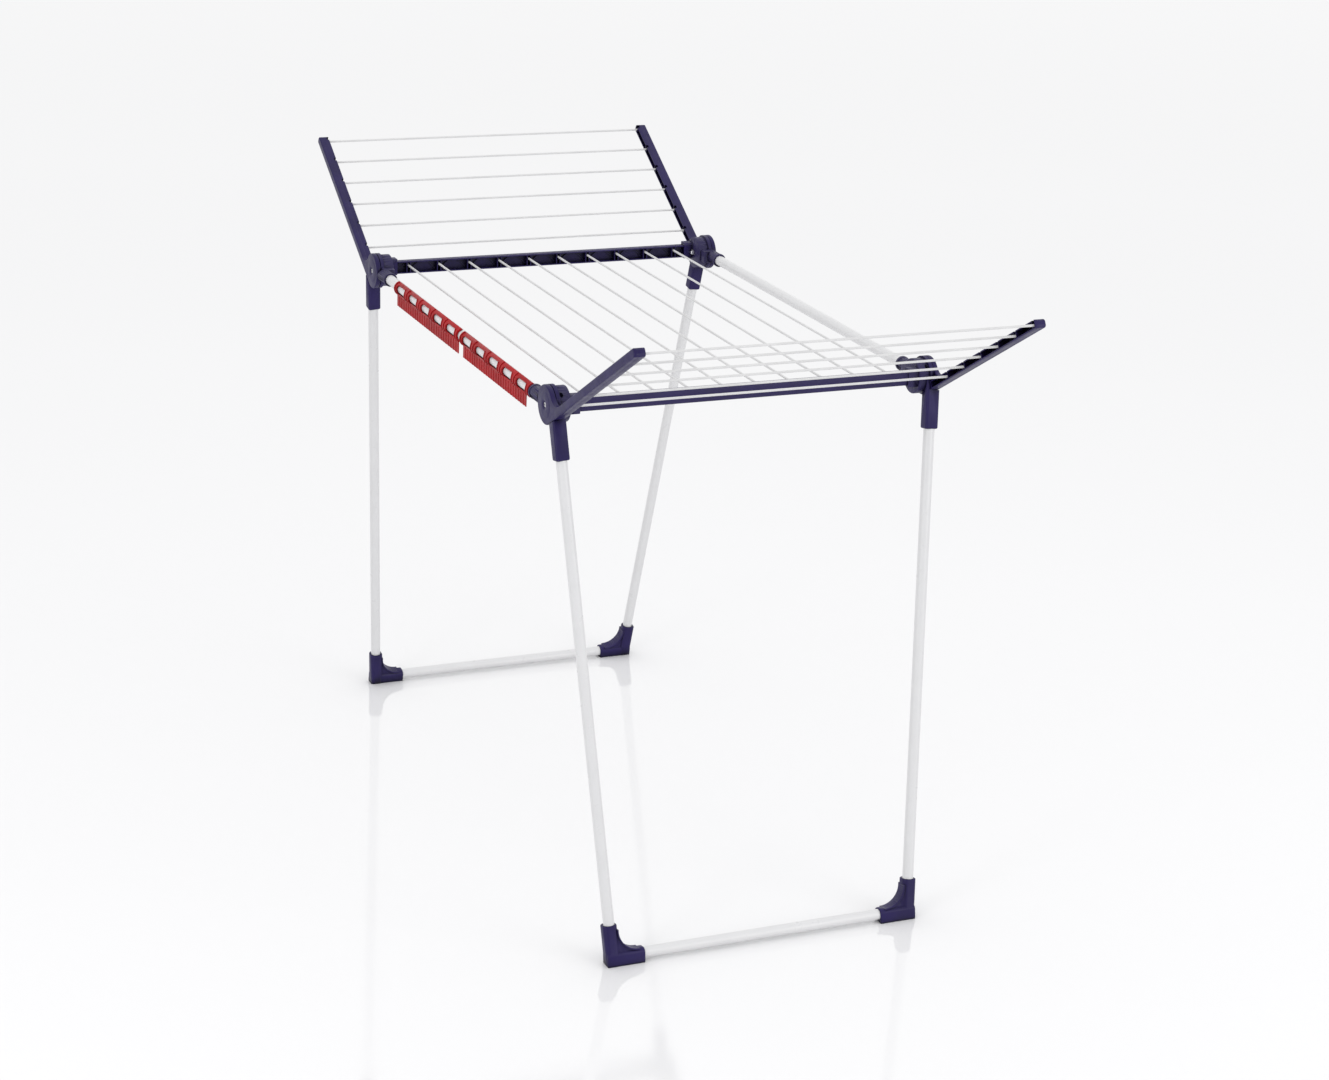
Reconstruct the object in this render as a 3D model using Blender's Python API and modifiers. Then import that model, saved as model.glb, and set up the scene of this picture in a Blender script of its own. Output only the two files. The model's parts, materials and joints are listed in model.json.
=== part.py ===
"""Folding clothes drying rack: a lined frame, two lined wings and two folding U-shaped legs.

Metres, +Z up. X runs across the rack, +Y to its back. The origin is on the floor, under
the middle of the frame. Every pivot lies along X. The back end is modelled once, about its
own pivot, and the front end is the same shapes turned half a turn about Z.
"""
import math

import bmesh
import bpy
from mathutils import Matrix, Vector

# ---- driving dimensions -------------------------------------------------------------------
RACK_WIDTH = 0.700            # outer face to outer face of the wing discs
PIVOT_SPACING = 0.926         # front pivot to back pivot
PIVOT_HEIGHT = 0.9205         # pivot above the floor
GAP = 0.0003                  # between pieces that touch

LINE_RADIUS = 0.0020
LINE_PITCH = 0.061
CENTRE_LINES = 10
CENTRE_LINE_RISE = 0.0045     # centre lines above the pivots

TUBE_RADIUS = 0.0095
TUBE_WALL = 0.0011
SIDE_TUBE_X = 0.337

WING_ANGLE = math.radians(30.7)   # raised above level, resting on its stop
WING_LINES = 6
WING_LINE_PITCH = 0.0606
FIRST_WING_LINE = 0.0905      # from the pivot, along the arm
WING_LINE_DROP = 0.0272       # wing lines below the pivot, square to the arm
ARM_LENGTH = 0.401
ARM_DEPTH = 0.019             # along X
ARM_BOTTOM = -0.033           # tangent to the bottom of the disc
ARM_TOP = -0.0185
ARM_WALL = 0.0022
ARM_TIP = 0.0045              # solid end of the channel
ARM_TIP_RADIUS = 0.005
ARM_ROOT = 0.030              # where the full-depth channel starts, clear of the hub
ARM_SWEEP_RADIUS = 0.0277     # concave curve from the disc down to the arm
DISC_RADIUS = 0.033
WING_DISC_THICKNESS = 0.009
WING_CLEARANCE = 0.0008       # around the folded wing

LEG_DISC_THICKNESS = 0.0064
LEG_TOP_X = 0.3397            # leg axis at the pivots' height
LEG_FOOT_X = 0.2749           # leg axis on the floor
LEG_TOP_Y = 0.0248            # leg axis outward of the pivot, at its height
LEG_FOOT_Y = 0.1917           # leg axis outward of the pivot, on the floor
SLEEVE_WIDTH = 0.0238
SLEEVE_THICKNESS = 0.0224
SLEEVE_TOP = 0.005
SLEEVE_BOTTOM = -0.083
SLEEVE_EDGE = 0.004           # rounding of the sleeve's edges
LEG_TUBE_TOP = -0.040
DISC_CLEARANCE = 0.0006       # around the discs and drums that turn past a piece
SHOULDER_DROP = 0.001         # of the sleeve's shoulder below the resting arm
SHOULDER_REACH = 0.090        # longer than the sleeve is deep

DRUM_RADIUS = 0.030
DRUM_DEPTH = 0.019
SOCKET_MOUTH = 0.078          # from the pivot, along the side tube
SOCKET_START = 0.030
SOCKET_FLOOR = 0.046
SOCKET_RADII = (0.0128, 0.0123)
NECK_HALF_HEIGHT = 0.0115     # of the neck between the drum and the socket
NECK_START = 0.005
NECK_INSET = (0.003, 0.001)   # inside the drum's inner and outer faces

RAIL_INNER_Y = 0.006          # outward of the pivot
RAIL_DEPTH = 0.015
RAIL_LOW = -0.0105
RAIL_HIGH = 0.0130
RAIL_WALL = 0.002
RAIL_HALF_LENGTH = 0.3135
RAIL_SOCKET_X = 0.297
RAIL_SOCKET_WALL = 0.0025
RAIL_SOCKET_RISE = 0.0055     # top of the rail's socket above the rail
RAIL_SOCKET_OVERLAP = 0.002   # of the rail's socket into the drum

CUT_MARGIN = 0.002            # how far a cutter runs past the face it opens
LONG_MARGIN = 0.010

RIB = 0.0015                  # ribs beside each line's seat
SEAT = 0.0056                 # clear width of a line's seat

BOLT_RADIUS = 0.003
BOLT_HEAD_RADIUS = 0.005
BOLT_HEAD = 0.0020
BOLT_HEAD_FLAT = 0.0040       # radius of the flat on top of the head
BOLT_HEAD_EDGE = 0.0008       # height of the chamfer around it
BOLT_PAST_NUT = 0.0018
NUT_RADIUS = 0.005
NUT_HEIGHT = 0.0046

FOOT_WIDTH = 0.025
FOOT_THICKNESS = 0.0245
FOOT_REACH = 0.0545           # inward of the leg axis
FOOT_HEIGHT = 0.069
FOOT_BAR_HEIGHT = 0.0237
FOOT_GUSSET_RADIUS = 0.0360
FOOT_EDGE = 0.0035            # rounding of the foot's edges
FOOT_BELOW = 0.006            # of the outline below the floor, cut off by the sole
FOOT_RIM = 0.0025             # left along the gusset's concave edge
FOOT_RECESS_IN = 0.0080       # recess corner, inward of the leg axis
FOOT_RECESS_UP = 0.0220       # recess corner, above the floor
FOOT_WEB = 0.008              # thickness left between the two recesses
CROSS_TUBE_HEIGHT = 0.0122
TUBE_END_CLEARANCE = 0.014    # tube ends stop short of the foot's corner

HOLDER_SPANS = {"back": (-0.015, 0.325), "front": (-0.383, -0.044)}
HOLDER_RADIUS = 0.0125
HOLDER_CLIP = (100, 305)      # degrees round the tube: over its outer side and under it
HOLDER_WINDOWS = 5
WINDOW_SHARE = 0.59           # length of a window in its bay
WINDOW_HALF_HEIGHT = 0.0088
WINDOW_TILT = 6               # degrees that the windows face upward
WINDOW_CUT = (0.004, 0.020)   # from the tube's axis outward
HANGER_SPANS = {"back": (-0.0265, 0.319), "front": (-0.3655, -0.052)}
HANGER_FACES = (-0.0086, -0.0067)     # outer and inner face, from the tube's axis
HANGER_TOPS = (-0.0075, -0.0085)      # top of each face, inside the clip's skin
HANGER_DROP = 0.0318
HOLDER_TEETH = 26
TOOTH_DEPTH = 0.004

ROUND = 32                    # sides of discs and drums
BORE_SIDES = 20
BOLT_SIDES = 16

OBJECT_NAME = "clothes_drying_rack"


# ---- scene and collections ----------------------------------------------------------------
for old in list(bpy.data.objects):
    bpy.data.objects.remove(old, do_unlink=True)

rack = bpy.data.collections.new(OBJECT_NAME)
cutters = bpy.data.collections.new("cutters")
bpy.context.scene.collection.children.link(rack)
bpy.context.scene.collection.children.link(cutters)


def material(name, colour, roughness, metallic=0.0):
    """A Principled material with one colour."""
    made = bpy.data.materials.new(name)
    made.use_nodes = True
    shader = made.node_tree.nodes["Principled BSDF"]
    shader.inputs["Base Color"].default_value = (*colour, 1.0)
    shader.inputs["Roughness"].default_value = roughness
    shader.inputs["Metallic"].default_value = metallic
    return made


BLUE = material("dark_blue_plastic", (0.045, 0.038, 0.110), 0.45)
WHITE_STEEL = material("white_coated_steel", (0.80, 0.80, 0.81), 0.35)
LINE_COAT = material("white_line_coating", (0.82, 0.82, 0.82), 0.50)
RED = material("red_plastic", (0.45, 0.015, 0.020), 0.38)
ZINC = material("zinc_plated_steel", (0.70, 0.70, 0.72), 0.30, 1.0)


# ---- shapes -------------------------------------------------------------------------------
def work_object(mesh, matrix=Matrix()):
    """An object that only helps to build another: hidden, and drawn as wire."""
    made = bpy.data.objects.new(mesh.name, mesh)
    made.matrix_world = matrix
    made.hide_render = True
    made.display_type = "WIRE"
    cutters.objects.link(made)
    return made


def mesh_of(source, name):
    """The evaluated mesh of an object, in world space, with loose caps welded."""
    bpy.context.view_layer.update()
    graph = bpy.context.evaluated_depsgraph_get()
    mesh = bpy.data.meshes.new_from_object(source.evaluated_get(graph))
    mesh.name = name
    mesh.transform(source.matrix_world)
    edit = bmesh.new()
    edit.from_mesh(mesh)
    bmesh.ops.remove_doubles(edit, verts=edit.verts, dist=0.000001)
    bmesh.ops.recalc_face_normals(edit, faces=edit.faces)
    edit.to_mesh(mesh)
    edit.free()
    return mesh


def from_bmesh(edit, name):
    mesh = bpy.data.meshes.new(name)
    edit.to_mesh(mesh)
    edit.free()
    return mesh


def box(low, high, name="box"):
    """A cube stretched between two corners."""
    low, high = Vector(low), Vector(high)
    edit = bmesh.new()
    bmesh.ops.create_cube(edit, size=1.0)
    bmesh.ops.scale(edit, vec=high - low, verts=edit.verts)
    bmesh.ops.translate(edit, vec=(low + high) / 2, verts=edit.verts)
    return from_bmesh(edit, name)


def cone_between(start, end, radius_start, radius_end, sides, name="cone"):
    """A capped cone or cylinder from one point to another."""
    start, end = Vector(start), Vector(end)
    along = end - start
    edit = bmesh.new()
    bmesh.ops.create_cone(edit, cap_ends=True, segments=sides, radius1=radius_start,
                          radius2=radius_end, depth=along.length)
    turn = along.to_track_quat("Z", "Y").to_matrix().to_4x4()
    bmesh.ops.transform(edit, matrix=Matrix.Translation((start + end) / 2) @ turn, verts=edit.verts)
    return from_bmesh(edit, name)


def cylinder(start, end, radius, sides=ROUND, name="cylinder"):
    return cone_between(start, end, radius, radius, sides, name)


def cross_cylinder(x_low, x_high, radius, sides=ROUND, name="cylinder"):
    """A cylinder along the pivot axis."""
    return cylinder((x_low, 0, 0), (x_high, 0, 0), radius, sides, name)


def prism(points, low, high, frame, name="prism"):
    """A flat outline extruded from low to high along the third axis of frame."""
    curve = bpy.data.curves.new(name, "CURVE")
    curve.dimensions = "2D"
    curve.fill_mode = "BOTH"
    curve.extrude = (high - low) / 2
    spline = curve.splines.new("POLY")
    spline.points.add(len(points) - 1)
    for target, (u, v) in zip(spline.points, points):
        target.co = (u, v, 0, 1)
    spline.use_cyclic_u = True
    helper = work_object(curve, frame @ Matrix.Translation((0, 0, (low + high) / 2)))
    mesh = mesh_of(helper, name)
    bpy.data.objects.remove(helper)
    return mesh


def arc(centre, radius, start, end, steps):
    """Points of an arc in a flat outline, both ends included, angles in degrees."""
    points = []
    for step in range(steps + 1):
        angle = math.radians(start + (end - start) * step / steps)
        points.append((centre[0] + radius * math.cos(angle), centre[1] + radius * math.sin(angle)))
    return points


def joined(meshes, name="tools"):
    """Separate closed shapes in one mesh, to cut with in one go."""
    edit = bmesh.new()
    for mesh in meshes:
        edit.from_mesh(mesh)
    return from_bmesh(edit, name)


def bevelled(mesh, width, segments=2):
    helper = work_object(mesh)
    bevel = helper.modifiers.new("rounded_edges", "BEVEL")
    bevel.width = width
    bevel.segments = segments
    bevel.limit_method = "ANGLE"
    bevel.angle_limit = math.radians(40)
    result = mesh_of(helper, mesh.name)
    bpy.data.objects.remove(helper)
    return result


def combined(base, steps, name):
    """A base mesh with meshes added to it or cut from it, in order."""
    helper = work_object(base)
    tools = []
    for operation, mesh in steps:
        tool = work_object(mesh)
        tools.append(tool)
        boolean = helper.modifiers.new(operation.lower(), "BOOLEAN")
        boolean.operation = operation
        boolean.object = tool
    result = mesh_of(helper, name)
    for used in [helper, *tools]:
        bpy.data.objects.remove(used)
    return result


def mirrored(mesh, name):
    """The same shape for the other side of the rack."""
    edit = bmesh.new()
    edit.from_mesh(mesh)
    bmesh.ops.scale(edit, vec=(-1, 1, 1), verts=edit.verts)
    bmesh.ops.reverse_faces(edit, faces=edit.faces)
    return from_bmesh(edit, name)


def turned(outline, edges, sides, frame, name):
    """A profile of (radius, height) points turned about the third axis of frame."""
    profile = bpy.data.meshes.new(name)
    profile.from_pydata([(radius, 0, height) for radius, height in outline], edges, [])
    helper = work_object(profile, frame)
    screw = helper.modifiers.new("turned", "SCREW")
    screw.steps = sides
    screw.render_steps = sides
    screw.use_merge_vertices = True
    screw.merge_threshold = 0.0001
    result = mesh_of(helper, name)
    bpy.data.objects.remove(helper)
    return result


def pipe(start, end, name):
    """A round tube with open ends, turned from the section of its wall."""
    start, end = Vector(start), Vector(end)
    along = end - start
    inner = TUBE_RADIUS - TUBE_WALL
    section = [(TUBE_RADIUS, along.length), (TUBE_RADIUS, 0), (inner, 0), (inner, along.length)]
    loop = [(index, (index + 1) % len(section)) for index in range(len(section))]
    turn = along.to_track_quat("Z", "Y").to_matrix().to_4x4()
    return turned(section, loop, BORE_SIDES, Matrix.Translation(start) @ turn, name)


# ---- nodes --------------------------------------------------------------------------------
def empty(name, location, parent=None, turn=(0, 0, 0)):
    made = bpy.data.objects.new(name, None)
    made.location = location
    made.rotation_euler = turn
    made.parent = parent
    made.empty_display_size = 0.05
    rack.objects.link(made)
    return made


def node(name, data, look, parent=None):
    """One sub-part, placed by its parent."""
    made = bpy.data.objects.new(name, data)
    if not data.materials:
        data.materials.append(look)
    if isinstance(data, bpy.types.Mesh):
        data.shade_smooth()
        data.set_sharp_from_angle(angle=math.radians(35))
    made.parent = parent
    rack.objects.link(made)
    return made


def line(name, start, end, parent=None):
    """A straight drying line."""
    curve = bpy.data.curves.new(name, "CURVE")
    curve.dimensions = "3D"
    curve.bevel_depth = LINE_RADIUS
    curve.bevel_resolution = 2
    curve.use_fill_caps = True
    spline = curve.splines.new("POLY")
    spline.points.add(1)
    spline.points[0].co = (*start, 1)
    spline.points[1].co = (*end, 1)
    return node(name, curve, LINE_COAT, parent)


# ---- stations along X, outside to inside ----------------------------------------------------
OUTER = RACK_WIDTH / 2
WING_DISC_INNER = OUTER - WING_DISC_THICKNESS
LEG_DISC_OUTER = WING_DISC_INNER - GAP
LEG_DISC_INNER = LEG_DISC_OUTER - LEG_DISC_THICKNESS
DRUM_OUTER = LEG_DISC_INNER - GAP
DRUM_INNER = DRUM_OUTER - DRUM_DEPTH
ARM_INNER = OUTER - ARM_DEPTH
ARM_WEB = OUTER - ARM_WALL
BORE_RADIUS = BOLT_RADIUS + GAP
TUBE_BORE = TUBE_RADIUS + GAP
PROFILE_FRAME = Matrix(((0, 0, 1, 0), (1, 0, 0, 0), (0, 1, 0, 0), (0, 0, 0, 1)))


def seat_pockets(stations, start, end):
    """Hollow stretches of a channel that holds a line at each station: a seat, then a bay."""
    half_seat = SEAT / 2
    hollows = [(station - half_seat, station + half_seat) for station in stations]
    edges = [start - RIB, *[edge for hollow in hollows for edge in hollow], end + RIB]
    bays = zip(edges[0::2], edges[1::2])
    hollows += [(low + RIB, high - RIB) for low, high in bays]
    return hollows


# ---- wing arm -------------------------------------------------------------------------------
def tip_points(grow=0.0):
    """The rounded end of the arm, bottom to top."""
    centre_t = ARM_LENGTH - ARM_TIP_RADIUS
    radius = ARM_TIP_RADIUS + grow
    lower = arc((centre_t, ARM_BOTTOM + ARM_TIP_RADIUS), radius, -90, 0, 4)
    upper = arc((centre_t, ARM_TOP - ARM_TIP_RADIUS), radius, 0, 90, 4)
    return lower + upper


def arm_plate_outline(grow=0.0):
    """Disc, bottom edge, rounded tip, top edge and the concave sweep back up to the disc.

    The sweep touches both the disc and the top edge. An outline that is grown by a clearance
    keeps the centres of its curves.
    """
    level = ARM_TOP + ARM_SWEEP_RADIUS
    centre = Vector((math.sqrt((DISC_RADIUS + ARM_SWEEP_RADIUS) ** 2 - level ** 2), level))
    touching = math.degrees(math.atan2(centre.y, centre.x))
    disc = arc((0, 0), DISC_RADIUS + grow, touching, 270, 22)
    sweep = arc(centre, ARM_SWEEP_RADIUS - grow, 270, 180 + touching, 8)
    return disc + tip_points(grow) + sweep[:-1]


def wing_line_stations():
    return [FIRST_WING_LINE + WING_LINE_PITCH * index for index in range(WING_LINES)]


def wing_arm():
    """The right-hand arm of the back wing: y runs along the arm, z square to it."""
    plate = prism(arm_plate_outline(), WING_DISC_INNER, OUTER, PROFILE_FRAME, "plate")
    channel_outline = [(ARM_ROOT, ARM_TOP), (ARM_ROOT, ARM_BOTTOM), *tip_points()]
    channel_outer = WING_DISC_INNER + ARM_WALL
    channel = prism(channel_outline, ARM_INNER, channel_outer, PROFILE_FRAME, "channel")
    pockets = []
    for low, high in seat_pockets(wing_line_stations(), ARM_ROOT + ARM_WALL, ARM_LENGTH - ARM_TIP):
        pockets.append(box((ARM_INNER - CUT_MARGIN, low, ARM_BOTTOM + ARM_WALL),
                           (ARM_WEB, high, ARM_TOP - ARM_WALL)))
    bore = cross_cylinder(WING_DISC_INNER - CUT_MARGIN, OUTER + CUT_MARGIN, BORE_RADIUS, BORE_SIDES)
    recess_floor = OUTER - BOLT_HEAD - 2 * GAP
    recess = cross_cylinder(recess_floor, OUTER + CUT_MARGIN, BOLT_HEAD_RADIUS + GAP, BORE_SIDES)
    return combined(plate, [("UNION", channel), ("DIFFERENCE", joined(pockets)),
                            ("DIFFERENCE", bore), ("DIFFERENCE", recess)], "wing_arm")


# ---- legs -----------------------------------------------------------------------------------
def leg_point(height):
    """A point of the right-hand leg's axis, at a height relative to the pivot."""
    fraction = -height / PIVOT_HEIGHT
    x = LEG_TOP_X + (LEG_FOOT_X - LEG_TOP_X) * fraction
    y = LEG_TOP_Y + (LEG_FOOT_Y - LEG_TOP_Y) * fraction
    return Vector((x, y, height))


def leg_frame():
    """Axes of the leg: its third axis runs up the leg and its first lies almost along X."""
    up = (leg_point(0) - leg_point(-PIVOT_HEIGHT)).normalized()
    across = Vector((1, 0, 0))
    across = (across - up * across.dot(up)).normalized()
    depth = up.cross(across)
    return Matrix((across, depth, up)).transposed().to_4x4()


def placed(mesh, matrix):
    mesh.transform(matrix)
    return mesh


def leg_head():
    """Disc on the pivot and the sleeve that takes the top of the leg tube, in one piece.

    The sleeve is cut back around the drum and the wing's disc, and its top is the shoulder
    that the wing's arm rests on.
    """
    top, bottom = leg_point(SLEEVE_TOP), leg_point(SLEEVE_BOTTOM)
    half_width, half_depth = SLEEVE_WIDTH / 2, SLEEVE_THICKNESS / 2
    sleeve = box((-half_width, -half_depth, 0), (half_width, half_depth, (top - bottom).length))
    sleeve = bevelled(sleeve, SLEEVE_EDGE)
    placed(sleeve, Matrix.Translation(bottom) @ leg_frame())
    beyond_wing_disc = cross_cylinder(LEG_DISC_OUTER, OUTER + LONG_MARGIN, DISC_RADIUS + DISC_CLEARANCE)
    beyond_drum = cross_cylinder(DRUM_INNER - CUT_MARGIN, LEG_DISC_INNER, DRUM_RADIUS + DISC_CLEARANCE)
    wing_turn = Matrix.Rotation(WING_ANGLE, 4, "X")
    shoulder = ARM_BOTTOM - SHOULDER_DROP
    under_arm = box((ARM_INNER - LONG_MARGIN, ARM_ROOT - RIB, shoulder),
                    (OUTER + LONG_MARGIN, SHOULDER_REACH, SHOULDER_REACH / 2))
    under_plate = box((LEG_DISC_OUTER, 0, shoulder),
                      (OUTER + 2 * LONG_MARGIN, SHOULDER_REACH, SHOULDER_REACH))
    placed(under_arm, wing_turn)
    placed(under_plate, wing_turn)
    disc = cross_cylinder(LEG_DISC_INNER, LEG_DISC_OUTER, DISC_RADIUS)
    bore = cross_cylinder(LEG_DISC_INNER - CUT_MARGIN, LEG_DISC_OUTER + CUT_MARGIN, BORE_RADIUS, BORE_SIDES)
    tube_bore = cylinder(leg_point(LEG_TUBE_TOP + GAP), leg_point(SLEEVE_BOTTOM - LONG_MARGIN),
                         TUBE_BORE, BORE_SIDES)
    return combined(sleeve, [("DIFFERENCE", beyond_wing_disc), ("DIFFERENCE", beyond_drum),
                             ("DIFFERENCE", under_arm), ("DIFFERENCE", under_plate),
                             ("UNION", disc), ("DIFFERENCE", bore), ("DIFFERENCE", tube_bore)],
                    "leg_head")


LEG_LEAN = (LEG_TOP_X - LEG_FOOT_X) / PIVOT_HEIGHT


def foot_gusset_centre():
    top = FOOT_BAR_HEIGHT + FOOT_GUSSET_RADIUS
    return (FOOT_WIDTH / 2 - LEG_LEAN * top + FOOT_GUSSET_RADIUS, top)


def foot_outline():
    """L-shaped corner with a concave gusset: inward, then up, from the leg axis on the floor."""
    half = FOOT_WIDTH / 2
    below = -FOOT_BELOW
    lean = LEG_LEAN
    outer_bottom = (-half - lean * below, below)
    outer_top = (-half - lean * FOOT_HEIGHT, FOOT_HEIGHT)
    inner_top = (half - lean * FOOT_HEIGHT, FOOT_HEIGHT)
    bar_end = [(FOOT_REACH, FOOT_BAR_HEIGHT), (FOOT_REACH, below)]
    gusset = arc(foot_gusset_centre(), FOOT_GUSSET_RADIUS, 180, 270, 8)
    return [outer_bottom, outer_top, inner_top, *gusset, *bar_end]


def foot_recess_outline():
    """Hollow between the foot's two sleeves and the rim along its concave gusset."""
    centre = foot_gusset_centre()
    radius = FOOT_GUSSET_RADIUS + FOOT_RIM
    start = 180 + math.degrees(math.acos((centre[0] - FOOT_RECESS_IN) / radius))
    end = 180 + math.degrees(math.asin((centre[1] - FOOT_RECESS_UP) / radius))
    return [(FOOT_RECESS_IN, FOOT_RECESS_UP), *arc(centre, radius, start, end, 6)]


def foot_frame():
    """Axes of the foot on the right: inward along X, up the plane of the leg, and its normal."""
    splay = math.atan2(LEG_FOOT_Y - LEG_TOP_Y, PIVOT_HEIGHT)
    inward = Vector((-1, 0, 0))
    up = Vector((0, -math.sin(splay), math.cos(splay)))
    normal = inward.cross(up)
    turn = Matrix((inward, up, normal)).transposed().to_4x4()
    return Matrix.Translation(leg_point(-PIVOT_HEIGHT)) @ turn


def foot():
    """Corner of the U-shaped leg, with a socket for each of its two tubes and a flat sole."""
    half = FOOT_THICKNESS / 2
    body = bevelled(prism(foot_outline(), -half, half, foot_frame(), "foot"), FOOT_EDGE)
    web = FOOT_WEB / 2
    recess_outline = foot_recess_outline()
    recesses = [prism(recess_outline, web, half + CUT_MARGIN, foot_frame(), "recess"),
                prism(recess_outline, -half - CUT_MARGIN, -web, foot_frame(), "recess")]
    sole = leg_point(-PIVOT_HEIGHT)
    below_floor = box(sole - Vector((FOOT_HEIGHT * 2, FOOT_HEIGHT, FOOT_HEIGHT)),
                      sole + Vector((FOOT_HEIGHT * 2, FOOT_HEIGHT, 0)))
    leg_bore = cylinder(leg_point(-PIVOT_HEIGHT + TUBE_END_CLEARANCE - GAP),
                        leg_point(-PIVOT_HEIGHT + FOOT_HEIGHT * 2), TUBE_BORE, BORE_SIDES)
    axis = cross_tube_end()
    cross_bore = cylinder(axis + Vector((GAP, 0, 0)), axis - Vector((FOOT_HEIGHT, 0, 0)),
                          TUBE_BORE, BORE_SIDES)
    return combined(body, [("DIFFERENCE", joined(recesses)), ("DIFFERENCE", below_floor),
                           ("DIFFERENCE", leg_bore), ("DIFFERENCE", cross_bore)], "foot")


def cross_tube_end():
    """Where the cross tube ends inside the right-hand foot."""
    middle = leg_point(-PIVOT_HEIGHT + CROSS_TUBE_HEIGHT)
    return middle - Vector((TUBE_END_CLEARANCE, 0, 0))


# ---- frame corner ---------------------------------------------------------------------------
def folded_wing_cutter():
    """Room for the plate of the wing's arm where it lies folded over the frame."""
    outline = arm_plate_outline(WING_CLEARANCE)
    plate = prism(outline, WING_DISC_INNER - WING_CLEARANCE, OUTER + LONG_MARGIN, PROFILE_FRAME)
    return placed(plate, Matrix.Rotation(math.pi, 4, "X"))


def corner_housing():
    """Fixed hub of a corner: drum, socket for the side tube and socket for the end rail."""
    drum = cross_cylinder(DRUM_INNER, DRUM_OUTER, DRUM_RADIUS)
    socket = cone_between((SIDE_TUBE_X, -SOCKET_START, 0), (SIDE_TUBE_X, -SOCKET_MOUTH, 0),
                          SOCKET_RADII[0], SOCKET_RADII[1], ROUND)
    neck = box((DRUM_INNER + NECK_INSET[0], -SOCKET_FLOOR, -NECK_HALF_HEIGHT),
               (DRUM_OUTER - NECK_INSET[1], -NECK_START, NECK_HALF_HEIGHT))
    rail_outer = RAIL_INNER_Y + RAIL_DEPTH
    rail_block = box((RAIL_SOCKET_X, RAIL_INNER_Y - GAP, RAIL_LOW - RAIL_SOCKET_WALL),
                     (DRUM_INNER + RAIL_SOCKET_OVERLAP, rail_outer + RAIL_SOCKET_WALL,
                      RAIL_HIGH + RAIL_SOCKET_RISE))
    rail_pocket = box((RAIL_SOCKET_X - CUT_MARGIN, RAIL_INNER_Y - CUT_MARGIN, RAIL_LOW - GAP),
                      (RAIL_HALF_LENGTH + GAP, rail_outer + GAP, RAIL_HIGH + GAP))
    discs = cross_cylinder(DRUM_OUTER, OUTER + LONG_MARGIN, DISC_RADIUS + WING_CLEARANCE)
    tube_bore = cylinder((SIDE_TUBE_X, -SOCKET_FLOOR, 0), (SIDE_TUBE_X, -SOCKET_MOUTH - LONG_MARGIN, 0),
                         TUBE_BORE, BORE_SIDES)
    bore = cross_cylinder(DRUM_INNER - CUT_MARGIN, DRUM_OUTER + CUT_MARGIN, BORE_RADIUS, BORE_SIDES)
    return combined(drum, [("UNION", neck), ("UNION", socket), ("UNION", rail_block),
                           ("DIFFERENCE", rail_pocket), ("DIFFERENCE", discs),
                           ("DIFFERENCE", folded_wing_cutter()),
                           ("DIFFERENCE", tube_bore), ("DIFFERENCE", bore)], "corner_housing")


def end_rail():
    """Channel across the back end, open towards the middle, with a ribbed seat for each line."""
    rail_outer = RAIL_INNER_Y + RAIL_DEPTH
    body = box((-RAIL_HALF_LENGTH, RAIL_INNER_Y, RAIL_LOW), (RAIL_HALF_LENGTH, rail_outer, RAIL_HIGH))
    pockets = []
    for low, high in seat_pockets(centre_line_stations(), -RAIL_SOCKET_X, RAIL_SOCKET_X):
        pockets.append(box((low, RAIL_INNER_Y - CUT_MARGIN, RAIL_LOW + RAIL_WALL),
                           (high, rail_outer - RAIL_WALL, RAIL_HIGH - RAIL_WALL)))
    return combined(body, [("DIFFERENCE", joined(pockets))], "end_rail")


def centre_line_stations():
    first = -LINE_PITCH * (CENTRE_LINES - 1) / 2
    return [first + LINE_PITCH * index for index in range(CENTRE_LINES)]


def pivot_bolt():
    """Turned bolt along +X, head outside, drawn from the head down its outer side."""
    head_top = OUTER - GAP
    head_bottom = head_top - BOLT_HEAD
    shank_end = DRUM_INNER - NUT_HEIGHT - BOLT_PAST_NUT
    outline = [(0, head_top), (BOLT_HEAD_FLAT, head_top), (BOLT_HEAD_RADIUS, head_top - BOLT_HEAD_EDGE),
               (BOLT_HEAD_RADIUS, head_bottom), (BOLT_RADIUS, head_bottom), (BOLT_RADIUS, shank_end),
               (0, shank_end)]
    edges = [(index, index + 1) for index in range(len(outline) - 1)]
    return turned(outline, edges, BOLT_SIDES, Matrix.Rotation(math.pi / 2, 4, "Y"), "pivot_bolt")


def pivot_nut():
    outer_face = DRUM_INNER - GAP
    inner_face = outer_face - NUT_HEIGHT
    hexagon = cross_cylinder(inner_face, outer_face, NUT_RADIUS, 6)
    bore = cross_cylinder(inner_face - CUT_MARGIN, outer_face + CUT_MARGIN, BORE_RADIUS, BOLT_SIDES)
    return combined(hexagon, [("DIFFERENCE", bore)], "pivot_nut")


# ---- small-item holder ------------------------------------------------------------------------
HOLDER_FRAME = Matrix(((1, 0, 0, 0), (0, 0, -1, 0), (0, 1, 0, 0), (0, 0, 0, 1)))
OUTWARD_FRAME = Matrix(((0, 0, -1, 0), (1, 0, 0, 0), (0, -1, 0, 0), (0, 0, 0, 1)))


def clip_section():
    """Section of the clip, seen along the tube: open on the tube's inner side."""
    start, end = HOLDER_CLIP
    outside = arc((0, 0), HOLDER_RADIUS, start, end, 20)
    inside = arc((0, 0), TUBE_RADIUS + GAP, end, start, 20)
    return [*outside, *inside]


def hanger_section():
    """Section of the plate that hangs from the clip."""
    outer, inner = HANGER_FACES
    outer_top, inner_top = HANGER_TOPS
    return [(outer, -HANGER_DROP), (inner, -HANGER_DROP), (inner, inner_top), (outer, outer_top)]


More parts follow.
